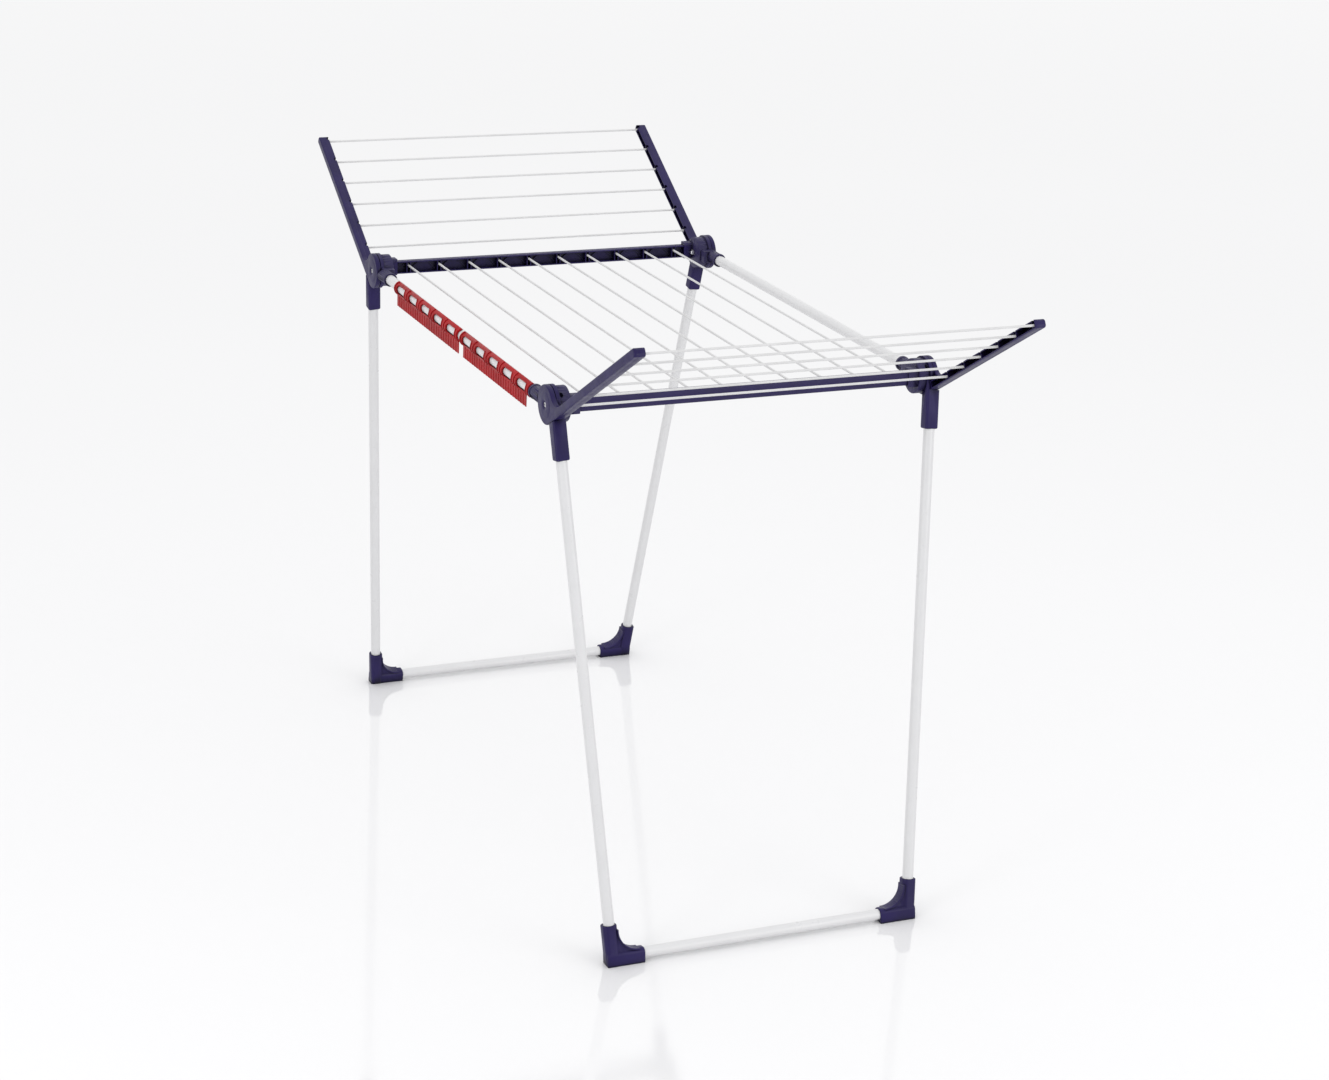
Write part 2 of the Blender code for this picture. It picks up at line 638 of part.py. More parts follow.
def holder_windows(y_low, pitch):
    """Cutters for the oval windows, which face outward and up."""
    half_height = WINDOW_HALF_HEIGHT
    ends = pitch * WINDOW_SHARE / 2 - half_height
    facing = Matrix.Rotation(math.radians(-WINDOW_TILT), 4, "Y") @ OUTWARD_FRAME
    windows = []
    for index in range(HOLDER_WINDOWS):
        centre = y_low + pitch * (index + 0.5)
        oval = [*arc((centre + ends, 0), half_height, -90, 90, 6),
                *arc((centre - ends, 0), half_height, 90, 270, 6)]
        windows.append(prism(oval, *WINDOW_CUT, facing, "window"))
    return windows


def hanger_notches(y_low, tooth):
    """Cutters for the teeth along the plate's lower edge."""
    lowest = -HANGER_DROP - GAP
    outer, inner = HANGER_FACES
    notches = []
    for index in range(HOLDER_TEETH):
        start = y_low + tooth * index
        corner = [(start, lowest), (start + tooth, lowest), (start + tooth / 2, lowest + TOOTH_DEPTH)]
        notches.append(prism(corner, outer - CUT_MARGIN, inner + CUT_MARGIN, PROFILE_FRAME, "notch"))
    return notches


def holder(clip_span, hanger_span):
    """Clip over the left side tube with oval windows, and a toothed plate that hangs from it."""
    y_low, y_high = clip_span
    plate_low, plate_high = hanger_span
    clip = prism(clip_section(), -y_high, -y_low, HOLDER_FRAME, "clip")
    plate = prism(hanger_section(), -plate_high, -plate_low, HOLDER_FRAME, "hanger")
    windows = joined(holder_windows(y_low, (y_high - y_low) / HOLDER_WINDOWS))
    notches = joined(hanger_notches(plate_low, (plate_high - plate_low) / HOLDER_TEETH))
    steps = [("DIFFERENCE", windows), ("UNION", plate), ("DIFFERENCE", notches)]
    made = combined(clip, steps, "holder")
    return placed(made, Matrix.Translation((-SIDE_TUBE_X, 0, PIVOT_HEIGHT)))


# ---- assembly -----------------------------------------------------------------------------------
half_spacing = PIVOT_SPACING / 2
pivots = {"back": empty("back_pivot", (0, half_spacing, PIVOT_HEIGHT)),
          "front": empty("front_pivot", (0, -half_spacing, PIVOT_HEIGHT), turn=(0, 0, math.pi))}
RIGHT, LEFT = 1, -1           # sides as seen from the pivot that a piece hangs on


def both_hands(mesh):
    return {RIGHT: mesh, LEFT: mirrored(mesh, mesh.name + "_mirrored")}


arms = both_hands(wing_arm())
heads = both_hands(leg_head())
feet = both_hands(foot())
housings = both_hands(corner_housing())
bolts = both_hands(pivot_bolt())
nuts = both_hands(pivot_nut())
rail = end_rail()


def corner_name(end, hand):
    """Which corner of the rack a pivot's hand is: the front pivot is turned about."""
    on_the_right = (hand == RIGHT) == (end == "back")
    return f"{end}_right" if on_the_right else f"{end}_left"


def add_corner(end, hand, pivot, wing, leg):
    corner = corner_name(end, hand)
    node(f"corner_housing_{corner}", housings[hand], BLUE, pivot)
    node(f"pivot_bolt_{corner}", bolts[hand], ZINC, pivot)
    node(f"pivot_nut_{corner}", nuts[hand], ZINC, pivot)
    node(f"wing_arm_{corner}", arms[hand], BLUE, wing)
    node(f"leg_head_{corner}", heads[hand], BLUE, leg)
    node(f"foot_{corner}", feet[hand], BLUE, leg)
    side = Matrix.Diagonal((hand, 1, 1, 1))
    top = side @ leg_point(LEG_TUBE_TOP)
    bottom = side @ leg_point(-PIVOT_HEIGHT + TUBE_END_CLEARANCE)
    node(f"leg_tube_{corner}", pipe(bottom, top, "leg_tube"), WHITE_STEEL, leg)


def add_end(end, pivot):
    """Rail, wing and leg of one end."""
    wing = empty(f"{end}_wing_axis", (0, 0, 0), pivot, (WING_ANGLE, 0, 0))
    leg = empty(f"{end}_leg_axis", (0, 0, 0), pivot)
    node(f"end_rail_{end}", rail, BLUE, pivot)
    for hand in (RIGHT, LEFT):
        add_corner(end, hand, pivot, wing, leg)
    right_end = cross_tube_end()
    left_end = Matrix.Diagonal((-1, 1, 1)) @ right_end
    node(f"cross_tube_{end}", pipe(left_end, right_end, "cross_tube"), WHITE_STEEL, leg)
    line_end = ARM_WEB - GAP
    for index, along in enumerate(wing_line_stations()):
        line(f"wing_line_{end}_{index + 1}", (-line_end, along, -WING_LINE_DROP),
             (line_end, along, -WING_LINE_DROP), wing)


for end, pivot in pivots.items():
    add_end(end, pivot)

tube_reach = half_spacing - SOCKET_FLOOR - GAP
for side, x in (("left", -SIDE_TUBE_X), ("right", SIDE_TUBE_X)):
    tube = pipe((x, -tube_reach, PIVOT_HEIGHT), (x, tube_reach, PIVOT_HEIGHT), "side_tube")
    node(f"side_tube_{side}", tube, WHITE_STEEL)

line_reach = half_spacing + RAIL_INNER_Y + RAIL_DEPTH - RAIL_WALL - GAP
line_height = PIVOT_HEIGHT + CENTRE_LINE_RISE
for index, x in enumerate(centre_line_stations()):
    line(f"centre_line_{index + 1:02d}", (x, -line_reach, line_height), (x, line_reach, line_height))

for end, clip_span in HOLDER_SPANS.items():
    node(f"small_item_holder_{end}", holder(clip_span, HANGER_SPANS[end]), RED)
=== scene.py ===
"""Clothes drying rack: the detailed visual model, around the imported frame.

Metres, +Z up, in the frame's own axes. Corner pieces are modelled once, at the back right
corner about its pivot: x to the right, y outward, z up. Mirrored and turned half a turn,
they make the other corners.
"""
import json
import math

import bmesh
import bpy
from mathutils import Matrix, Vector


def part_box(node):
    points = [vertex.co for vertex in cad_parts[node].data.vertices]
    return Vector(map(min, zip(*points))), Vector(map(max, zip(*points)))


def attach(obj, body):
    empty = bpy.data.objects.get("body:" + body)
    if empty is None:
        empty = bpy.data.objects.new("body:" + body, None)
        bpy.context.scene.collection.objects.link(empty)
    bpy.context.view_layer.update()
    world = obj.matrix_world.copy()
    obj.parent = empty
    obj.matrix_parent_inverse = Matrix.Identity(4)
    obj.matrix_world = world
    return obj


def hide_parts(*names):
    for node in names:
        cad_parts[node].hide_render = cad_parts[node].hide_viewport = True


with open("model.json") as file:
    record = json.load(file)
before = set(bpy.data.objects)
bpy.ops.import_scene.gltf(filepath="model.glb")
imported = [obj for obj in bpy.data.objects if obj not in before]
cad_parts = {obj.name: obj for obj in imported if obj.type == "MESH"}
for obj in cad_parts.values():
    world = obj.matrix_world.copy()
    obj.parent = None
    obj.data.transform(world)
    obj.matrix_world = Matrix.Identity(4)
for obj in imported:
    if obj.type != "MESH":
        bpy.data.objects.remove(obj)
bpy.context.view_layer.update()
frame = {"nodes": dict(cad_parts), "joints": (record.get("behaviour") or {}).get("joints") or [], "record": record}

# ---- places, from the frame ---------------------------------------------------------------
PIVOTS = {joint["child"].split("_")[1]: Vector(joint["pos_m"]) for joint in frame["joints"]}
PIVOT_HEIGHT = PIVOTS["back"].z
SIDE_TUBE_X = sum(corner.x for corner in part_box("side_tube_right")) / 2
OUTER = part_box("wing_arm_back_right")[1].x
WING_ANGLE = math.radians(30.7)   # of the wings above level, at rest

# ---- sizes --------------------------------------------------------------------------------
GAP = 0.0003                  # between pieces that touch
CUT_MARGIN = 0.002            # how far a cutter runs past the face it opens
LONG_MARGIN = 0.010           # the same, where nothing else is near

LINE_RADIUS = 0.0020
LINE_PITCH = 0.061
CENTRE_LINES = 10
WING_LINES = 6
WING_LINE_PITCH = 0.0606
FIRST_WING_LINE = 0.0905      # from the pivot, along the arm
TUBE_RADIUS = 0.0095
TUBE_WALL = 0.0011
TUBE_BORE = TUBE_RADIUS + GAP   # of a socket that a tube fits
TUBE_PLUG = 0.014             # depth of a tube's open end

ARM_LENGTH = 0.401
ARM_INNER = OUTER - 0.019
ARM_BOTTOM = -0.033
ARM_TOP = -0.0185
ARM_WALL = 0.0022
ARM_WEB = OUTER - ARM_WALL
ARM_TIP = 0.0045              # solid end of the channel
ARM_TIP_RADIUS = 0.005
ARM_ROOT = 0.030              # where the full-depth channel starts
ARM_SWEEP_RADIUS = 0.0277     # concave curve from the disc down to the arm
ARM_EDGE = 0.0022             # rounding of the arm's outer edges
DISC_RADIUS = 0.033
WING_DISC_INNER = OUTER - 0.009
WING_CLEARANCE = 0.0008

LEG_DISC_OUTER = WING_DISC_INNER - GAP
LEG_DISC_INNER = LEG_DISC_OUTER - 0.0064
LEG_TOP_X = 0.3397            # leg axis at the pivots' height
LEG_FOOT_X = 0.2749           # leg axis on the floor
LEG_TOP_Y = 0.0248            # outward of the pivot, at its height
LEG_FOOT_Y = 0.1917           # outward of the pivot, on the floor
LEG_LEAN = (LEG_TOP_X - LEG_FOOT_X) / PIVOT_HEIGHT
SLEEVE_SIZE = (0.0238, 0.0224)
SLEEVE_TOP = 0.005
SLEEVE_BOTTOM = -0.083
SLEEVE_EDGE = 0.004
LEG_TUBE_TOP = -0.040
DISC_CLEARANCE = 0.0006
SHOULDER_DROP = 0.001
SHOULDER_REACH = 0.090

DRUM_OUTER = LEG_DISC_INNER - GAP
DRUM_INNER = DRUM_OUTER - 0.019
DRUM_RADIUS = 0.030
SOCKET_MOUTH = 0.078          # from the pivot, along the side tube
SOCKET_START = 0.030
SOCKET_FLOOR = 0.046
SOCKET_RADII = (0.0128, 0.0123)
RAIL_INNER_Y = 0.006
RAIL_OUTER_Y = 0.021
RAIL_LOW = -0.0105
RAIL_HIGH = 0.0130
RAIL_WALL = 0.002
RAIL_HALF_LENGTH = 0.3135
RAIL_SOCKET_X = 0.297
RIB = 0.0015
SEAT = 0.0056
BOLT_RADIUS = 0.003
BOLT_HEAD_RADIUS = 0.005
BOLT_HEAD_HEIGHT = 0.0020
BORE_RADIUS = BOLT_RADIUS + GAP
NUT_THICKNESS = 0.0046

FOOT_WIDTH = 0.025
FOOT_THICKNESS = 0.0245
FOOT_REACH = 0.0545           # inward of the leg axis
FOOT_HEIGHT = 0.069
FOOT_BAR_HEIGHT = 0.0237
FOOT_GUSSET_RADIUS = 0.0360
FOOT_CORNER = 0.0085          # rounding of the sleeves' sections
FOOT_EDGE = 0.0016            # rounding of their ends
FOOT_EXTRA = 0.006            # modelled below the floor, then cut off level
CROSS_TUBE_HEIGHT = 0.0122
TUBE_END_CLEARANCE = 0.014

CLIP_RADIUS = 0.0125
CLIP_ARC = (100, 305)         # degrees round the tube: over its outer side and under it
HANGER_FACES = (-0.0086, -0.0067)
HANGER_TOP = -0.0075
HANGER_DROP = 0.0318
HANGER_SPANS = {"back": (-0.0265, 0.319), "front": (-0.3655, -0.052)}
HOLDER_WINDOWS = 5
HOLDER_TEETH = 26
TOOTH_DEPTH = 0.004
WINDOW_SHARE = 0.66           # length of a window in its bay
WINDOW_HALF_HEIGHT = 0.0098
WINDOW_TILT = math.radians(6)   # the windows face this far below level
WINDOW_CUT = (0.004, 0.020)   # from the tube's axis outward
WINDOW_CORNER = 0.0058
WINDOW_STEP = 0.0018          # between points of a window's outline

ROUND = 64                    # sides of a full circle
SMALL_ROUND = 32

# painted shade: how far the ambient occlusion looks into a hollow that darkens the colour
HOLLOW_REACH = 0.018          # how far a face sees into a hollow that darkens it
LOOK_PREFIX = "detailed_"     # keeps these materials' names apart from the frame's own

CAMERA_PLACE = Vector((-1.9027, -4.4814, 2.1846))
CAMERA_YAW = 0.41555          # radians, to the right of +Y
CAMERA_PITCH = -0.33226
CAMERA_ROLL = 0.04304
CAMERA_REACH = 60
SENSOR_WIDTH = 36             # mm
LENS = 75.596                 # mm
WORLD_LIGHT = 1.0
KEY_POWER = 42
STRIP_POWER = 22
TOP_POWER = 8
LIGHT_TARGET = (0, 0, 0.6)
FLOOR_SIZE = 30
FLOOR_DROP = 0.0004           # below the feet
FLOOR_COLOUR = (0.86, 0.86, 0.87, 1)
FLOOR_ROUGHNESS = 0.07


# ---- camera, light and floor ----------------------------------------------------------------
def make_camera():
    """Camera off the front left corner, above the rack and looking down on it."""
    yaw, pitch, roll = CAMERA_YAW, CAMERA_PITCH, CAMERA_ROLL
    level = math.cos(pitch)
    forward = Vector((math.sin(yaw) * level, math.cos(yaw) * level, math.sin(pitch)))
    right = Vector((math.cos(yaw), -math.sin(yaw), 0))
    up = right.cross(forward)
    rolled_right = math.cos(roll) * right + math.sin(roll) * up
    rolled_up = math.cos(roll) * up - math.sin(roll) * right
    data = bpy.data.cameras.new("camera")
    data.sensor_width = SENSOR_WIDTH
    data.lens = LENS
    data.clip_end = CAMERA_REACH
    camera = bpy.data.objects.new("camera", data)
    bpy.context.scene.collection.objects.link(camera)
    turn = Matrix((rolled_right, rolled_up, -forward)).transposed().to_4x4()
    camera.matrix_world = Matrix.Translation(CAMERA_PLACE) @ turn
    bpy.context.scene.camera = camera


def area_light(name, place, target, size, power):
    data = bpy.data.lights.new(name, "AREA")
    data.shape = "RECTANGLE"
    data.size, data.size_y = size
    data.energy = power
    lamp = bpy.data.objects.new(name, data)
    bpy.context.scene.collection.objects.link(lamp)
    towards = (Vector(target) - Vector(place)).to_track_quat("-Z", "Y")
    lamp.matrix_world = Matrix.Translation(place) @ towards.to_matrix().to_4x4()


def make_studio():
    """White surroundings, soft lights on the right, on the left and above, and a glossy floor."""
    world = bpy.data.worlds.new("studio")
    bpy.context.scene.world = world
    bpy.context.scene.view_settings.view_transform = "Standard"
    world.use_nodes = True
    background = world.node_tree.nodes["Background"]
    background.inputs["Color"].default_value = (1, 1, 1, 1)
    background.inputs["Strength"].default_value = WORLD_LIGHT
    area_light("key", (2.6, -4.2, 1.9), LIGHT_TARGET, (2.6, 2.6), KEY_POWER)
    area_light("left_strip", (-3.4, -2.2, 1.5), LIGHT_TARGET, (0.9, 2.4), STRIP_POWER)
    area_light("top", (0.3, 0.8, 3.8), LIGHT_TARGET, (3.2, 3.2), TOP_POWER)

    edit = bmesh.new()
    bmesh.ops.create_grid(edit, x_segments=2, y_segments=2, size=FLOOR_SIZE)
    mesh = bpy.data.meshes.new("floor")
    edit.to_mesh(mesh)
    edit.free()
    floor = bpy.data.objects.new("floor", mesh)
    bpy.context.scene.collection.objects.link(floor)
    floor.location.z = -FLOOR_DROP
    paint = bpy.data.materials.new("floor")
    paint.use_nodes = True
    shader = paint.node_tree.nodes["Principled BSDF"]
    shader.inputs["Base Color"].default_value = FLOOR_COLOUR
    shader.inputs["Roughness"].default_value = FLOOR_ROUGHNESS
    shader.inputs["Specular IOR Level"].default_value = 1.0
    mesh.materials.append(paint)


make_camera()
make_studio()


# ---- materials ------------------------------------------------------------------------------
def finish(name, colour, roughness, metallic=0.0, shade=0.10, grain=0.0004, depth=0.00003, coat=0.0,
           specular=0.5, shadowed=0.0):
    """A procedural finish.

    colour varies by shade over a few centimetres, roughness is a (low, high) pair that follows
    handling marks, grain is the size of the surface texture and depth its height, all in metres.
    shadowed is how much darker the colour is painted deep in a hollow: a painted shade from ambient occlusion.
    """
    made = bpy.data.materials.new(LOOK_PREFIX + name)
    made.use_nodes = True
    nodes, links = made.node_tree.nodes, made.node_tree.links
    shader = nodes["Principled BSDF"]
    shader.inputs["Metallic"].default_value = metallic
    shader.inputs["Specular IOR Level"].default_value = specular
    shader.inputs["Coat Weight"].default_value = coat
    shader.inputs["Coat Roughness"].default_value = 0.18
    place = nodes.new("ShaderNodeTexCoord").outputs["Object"]

    def noise(scale, detail, rough=0.5):
        made_noise = nodes.new("ShaderNodeTexNoise")
        made_noise.inputs["Scale"].default_value = scale
        made_noise.inputs["Detail"].default_value = detail
        made_noise.inputs["Roughness"].default_value = rough
        links.new(place, made_noise.inputs["Vector"])
        return made_noise.outputs["Fac"]

    def ramp(value, stops):
        made_ramp = nodes.new("ShaderNodeValToRGB")
        bar = made_ramp.color_ramp.elements
        for stop, (position, level) in zip((bar[0], bar[1]), stops):
            stop.position = position
            stop.color = (*level, 1)
        links.new(value, made_ramp.inputs["Fac"])
        return made_ramp.outputs["Color"]

    def mixed(kind, factor, first, second):
        made_mix = nodes.new("ShaderNodeMix")
        made_mix.data_type = "RGBA"
        made_mix.blend_type = kind
        made_mix.inputs["Factor"].default_value = factor
        links.new(first, made_mix.inputs["A"])
        links.new(second, made_mix.inputs["B"])
        return made_mix.outputs["Result"]

    dark = tuple(channel * (1 - shade) for channel in colour)
    light = tuple(min(1.0, channel * (1 + shade) + shade * 0.004) for channel in colour)
    broad = ramp(noise(22, 3), ((0.38, dark), (0.62, light)))
    flecks = ramp(noise(0.35 / grain, 2), ((0.30, (1 - shade * 0.6,) * 3), (0.70, (1.0,) * 3)))
    tinted = mixed("MULTIPLY", 0.8, broad, flecks)

    # painted highlight: sharp convex edges, found by pointiness, are mixed a little toward a paler colour
    edge = nodes.new("ShaderNodeNewGeometry").outputs["Pointiness"]
    edge_highlight_mask = ramp(edge, ((0.53, (0.0,) * 3), (0.62, (0.10,) * 3)))
    highlight_colour = tuple(min(1.0, channel * 0.8 + 0.12) for channel in colour)
    painted_edge_highlight = nodes.new("ShaderNodeMix")
    painted_edge_highlight.data_type = "RGBA"
    painted_edge_highlight.inputs["B"].default_value = (*highlight_colour, 1)
    links.new(edge_highlight_mask, painted_edge_highlight.inputs["Factor"])
    links.new(tinted, painted_edge_highlight.inputs["A"])
    shown = painted_edge_highlight.outputs["Result"]
    # painted shade: the base colour is darkened where ambient occlusion finds a hollow
    if shadowed:
        hollow = nodes.new("ShaderNodeAmbientOcclusion")
        hollow.inputs["Distance"].default_value = HOLLOW_REACH
        hollow.samples = 8
        depth_shade = ramp(hollow.outputs["AO"], ((0.35, (1 - shadowed,) * 3), (0.92, (1.0,) * 3)))
        shown = mixed("MULTIPLY", 1.0, shown, depth_shade)
    links.new(shown, shader.inputs["Base Color"])

    gloss = nodes.new("ShaderNodeMapRange")
    gloss.inputs["From Min"].default_value = 0.3
    gloss.inputs["From Max"].default_value = 0.7
    gloss.inputs["To Min"].default_value, gloss.inputs["To Max"].default_value = roughness
    links.new(noise(60, 6, 0.65), gloss.inputs["Value"])
    links.new(gloss.outputs["Result"], shader.inputs["Roughness"])

    bump = nodes.new("ShaderNodeBump")
    bump.inputs["Strength"].default_value = 0.5
    bump.inputs["Distance"].default_value = depth
    links.new(noise(1 / grain, 4, 0.6), bump.inputs["Height"])
    links.new(bump.outputs["Normal"], shader.inputs["Normal"])
    return made


# BLUE and RED get painted shade in their hollows through shadowed
BLUE = finish("dark_blue_plastic", (0.016, 0.010, 0.070), (0.32, 0.48), shade=0.12, grain=0.0007,
              specular=0.2, shadowed=0.8)
WHITE_STEEL = finish("white_coated_steel", (0.67, 0.67, 0.68), (0.26, 0.34), shade=0.01, grain=0.0016,
                     depth=0.00004, coat=0.3)
LINE_COAT = finish("white_line_coating", (0.64, 0.64, 0.645), (0.38, 0.52), shade=0.03, grain=0.0009)
RED = finish("red_plastic", (0.36, 0.003, 0.006), (0.34, 0.50), shade=0.10, grain=0.0006, specular=0.16,
             shadowed=0.7)
ZINC = finish("zinc_plated_steel", (0.66, 0.66, 0.68), (0.22, 0.42), metallic=1.0, shade=0.08, grain=0.0005)


# ---- shapes -----------------------------------------------------------------------------------
# An outline's two axes and the way it is extruded, as the frame's axes
PROFILE_FRAME = Matrix(((0, 0, 1, 0), (1, 0, 0, 0), (0, 1, 0, 0), (0, 0, 0, 1)))     # Y, Z, +X
UPRIGHT_FRAME = Matrix(((1, 0, 0, 0), (0, 0, -1, 0), (0, 1, 0, 0), (0, 0, 0, 1)))    # X, Z, -Y
OUTWARD_FRAME = Matrix(((0, 0, -1, 0), (1, 0, 0, 0), (0, -1, 0, 0), (0, 0, 0, 1)))   # Y, -Z, -X
ALONG_X = Matrix.Rotation(math.pi / 2, 4, "Y")
MIRROR = Matrix.Diagonal((-1, 1, 1, 1))
HALF_TURN = Matrix.Rotation(math.pi, 4, "Z")


def as_mesh(edit, name="mesh"):
    bmesh.ops.remove_doubles(edit, verts=edit.verts, dist=0.000001)
    bmesh.ops.recalc_face_normals(edit, faces=edit.faces)
    mesh = bpy.data.meshes.new(name)
    edit.to_mesh(mesh)
    edit.free()
    return mesh


def loft(rings, caps=True):
    """A skin over closed rings of points, each with as many points as the next."""
    edit = bmesh.new()
    rows = [[edit.verts.new(point) for point in ring] for ring in rings]
    count = len(rows[0])
    for lower, upper in zip(rows, rows[1:]):
        for index in range(count):
            after = (index + 1) % count
            edit.faces.new((lower[index], lower[after], upper[after], upper[index]))
    if caps:
        edit.faces.new(rows[0])
        edit.faces.new(rows[-1])
    return as_mesh(edit)


def joined(meshes):
    edit = bmesh.new()
    for mesh in meshes:
        edit.from_mesh(mesh)
    made = bpy.data.meshes.new("joined")
    edit.to_mesh(made)
    edit.free()
    return made


def moved(mesh, matrix):
    """The mesh in a new place, with its faces still out where the matrix mirrors it."""
    made = mesh.copy()
    made.transform(matrix)
    if matrix.determinant() < 0:
        made.flip_normals()
    return made


def arc(centre, radius, start, end, steps):
    """Points of an arc in a flat outline, both ends included, angles in degrees."""
    points = []
    for step in range(steps + 1):
        angle = math.radians(start + (end - start) * step / steps)
        points.append(Vector((centre[0] + radius * math.cos(angle), centre[1] + radius * math.sin(angle))))
    return points


def neighbours(points):
    return zip(points[-1:] + points[:-1], points, points[1:] + points[:1])


def grown(points, distance):
    """An outline moved outward, corner by corner."""
    points = [Vector(point) for point in points]
    area = sum(before.x * point.y - point.x * before.y for before, point, _ in neighbours(points))
    side = 1 if area > 0 else -1
    result = []
    for before, point, after in neighbours(points):
        arriving = (point - before).normalized()
        leaving = (after - point).normalized()
        along = arriving + leaving
        normal = side * Vector((along.y, -along.x)).normalized()
        stretch = normal.dot(side * Vector((arriving.y, -arriving.x)))
        result.append(point + normal * distance / max(stretch, 0.3))
    return result


def rounded(points, radius, steps=4):
    """An outline with each sharp corner replaced by an arc."""
    points = [Vector(point) for point in points]
    result = []
    for before, point, after in neighbours(points):
        back = (before - point).normalized()
        on = (after - point).normalized()
        half = back.angle(on) / 2
        reach = min(radius / math.tan(half), (before - point).length * 0.45, (after - point).length * 0.45)
        if half > math.radians(80):
            result.append(point)
            continue
        bulge = reach * math.tan(half)
        centre = point + (back + on).normalized() * reach / math.cos(half)
        start = point + back * reach - centre
        end = point + on * reach - centre
        for step in range(steps + 1):
            share = step / steps
            way = start.lerp(end, share).normalized()
            result.append(centre + way * bulge)
    return result


def slab(points, low, high, place=Matrix(), edge=0.0008, steps=3, outline=None):
    """A flat outline made solid from low to high along the third axis of place, its rims rounded.

    outline gives the outline at an offset, for one whose curves keep their centres.
    """
    outline = outline or (lambda offset: grown(points, offset))
    rings = []
    for start, way in ((low, 1), (high, -1)):
        turn = []
        for step in range(steps + 1):
            angle = math.pi / 2 * step / steps
            height = start + way * edge * (1 - math.sin(angle))
            offset = -edge * (1 - math.cos(angle))
            turn.append([place @ Vector((*point, height)) for point in outline(offset)])
        rings.append(turn)
    return loft(rings[0][::-1] + rings[1])


def box(low, high, edge=0.0):
    """A block between two corners, its edges rounded."""
    points = [(low[0], low[1]), (high[0], low[1]), (high[0], high[1]), (low[0], high[1])]
    if edge:
        return slab(rounded(points, edge, 2), low[2], high[2], edge=edge, steps=2)
    return loft([[Vector((x, y, z)) for x, y in points] for z in (low[2], high[2])])


def axis_frame(start, end):
    """A frame at start whose third axis runs to end."""
    turn = (Vector(end) - Vector(start)).to_track_quat("Z", "Y")
    return Matrix.Translation(start) @ turn.to_matrix().to_4x4()


def turned(profile, place=Matrix(), sides=ROUND):
    """A solid turned about the third axis of place from (height, radius) pairs."""
    rings = []
    for height, radius in profile:
        ring = []
        for index in range(sides):
            angle = 2 * math.pi * index / sides
            ring.append(place @ Vector((radius * math.cos(angle), radius * math.sin(angle), height)))
        rings.append(ring)
    return loft(rings, caps=profile[0][1] > 0)


def cylinder(start, end, radius, sides=ROUND):
    length = (Vector(end) - Vector(start)).length
    return turned([(0, radius), (length, radius)], axis_frame(start, end), sides)


def cross_cylinder(x_low, x_high, radius, sides=ROUND):
    return cylinder((x_low, 0, 0), (x_high, 0, 0), radius, sides)


def work_object(mesh):
    made = bpy.data.objects.new("work", mesh)
    bpy.context.scene.collection.objects.link(made)
    return made


def evaluated(made):
    bpy.context.view_layer.update()
    graph = bpy.context.evaluated_depsgraph_get()
    return bpy.data.meshes.new_from_object(made.evaluated_get(graph))


def combined(base, steps, edge=0.0):
    """The base mesh after each (operation, mesh) step, its sharp edges then rounded by edge."""
    body = work_object(base)
    tools = []
    for operation, mesh in steps:
        tool = work_object(mesh)
        tools.append(tool)
        cut = body.modifiers.new("cut", "BOOLEAN")
        cut.operation = operation
        cut.object = tool
    if edge:
        soften = body.modifiers.new("soften", "BEVEL")
        soften.width = edge
        soften.segments = 2
        soften.limit_method = "ANGLE"
        soften.angle_limit = math.radians(38)
        soften.harden_normals = True
    made = evaluated(body)
    for helper in [body, *tools]:
        bpy.data.objects.remove(helper)
    return made


def piece(name, mesh, look, body, *nodes, crease=40):
    """A shown piece: it takes its look, stands for CAD nodes and rides on their body."""
    mesh.name = name
    mesh.materials.clear()
    mesh.materials.append(look)
    mesh.shade_smooth()
    mesh.set_sharp_from_angle(angle=math.radians(crease))
    made = bpy.data.objects.new(name, mesh)
    bpy.context.scene.collection.objects.link(made)
    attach(made, body)
    if nodes:
        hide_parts(*nodes)
    return made


def ends_of(node):
    """Both ends of the axis of a straight CAD tube or line."""
    points = [vertex.co for vertex in frame["nodes"][node].data.vertices]
    low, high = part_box(node)
    axis = max(range(3), key=lambda index: high[index] - low[index])
    middle = (low[axis] + high[axis]) / 2
    ends = []
    for wanted in (False, True):
        cluster = [point for point in points if (point[axis] > middle) == wanted]
        ends.append(sum(cluster, Vector()) / len(cluster))
    return ends


# ---- lines and tubes --------------------------------------------------------------------------
def coated_line(start, end):
    """A coated wire with a crimped sleeve at each end."""
    length = (end - start).length
    crimp = [(0, 0), (0, 0.0019), (0.0005, 0.0024), (0.0060, 0.0024), (0.0064, LINE_RADIUS)]
    far = [(length - height, radius) for height, radius in reversed(crimp)]
    spans = 24
    wire = [(length * step / spans, LINE_RADIUS) for step in range(1, spans)]
    return turned(crimp + wire + far, axis_frame(start, end), 16)


def steel_tube(start, end):
    """A tube with rolled rims, open at both ends down to a plug."""
    length = (end - start).length
    bore = TUBE_RADIUS - TUBE_WALL
    lip = 0.0005
    rim = [(TUBE_PLUG, 0), (TUBE_PLUG, bore), (lip, bore), (0, bore + lip),
           (0, TUBE_RADIUS - lip), (lip, TUBE_RADIUS)]
    far = [(length - height, radius) for height, radius in reversed(rim)]
    spans = 16
    wall = [(length * step / spans, TUBE_RADIUS) for step in range(1, spans)]
    return turned(rim + wall + far, axis_frame(start, end), 48)


def add_straight_pieces():
    bodies = frame["record"]["behaviour"]["bodies"]
    for body, members in bodies.items():
        for node in members:
            if "_line_" in node:
                piece(f"visual_{node}", coated_line(*ends_of(node)), LINE_COAT, body, node)
            elif "_tube_" in node:
                piece(f"visual_{node}", steel_tube(*ends_of(node)), WHITE_STEEL, body, node)


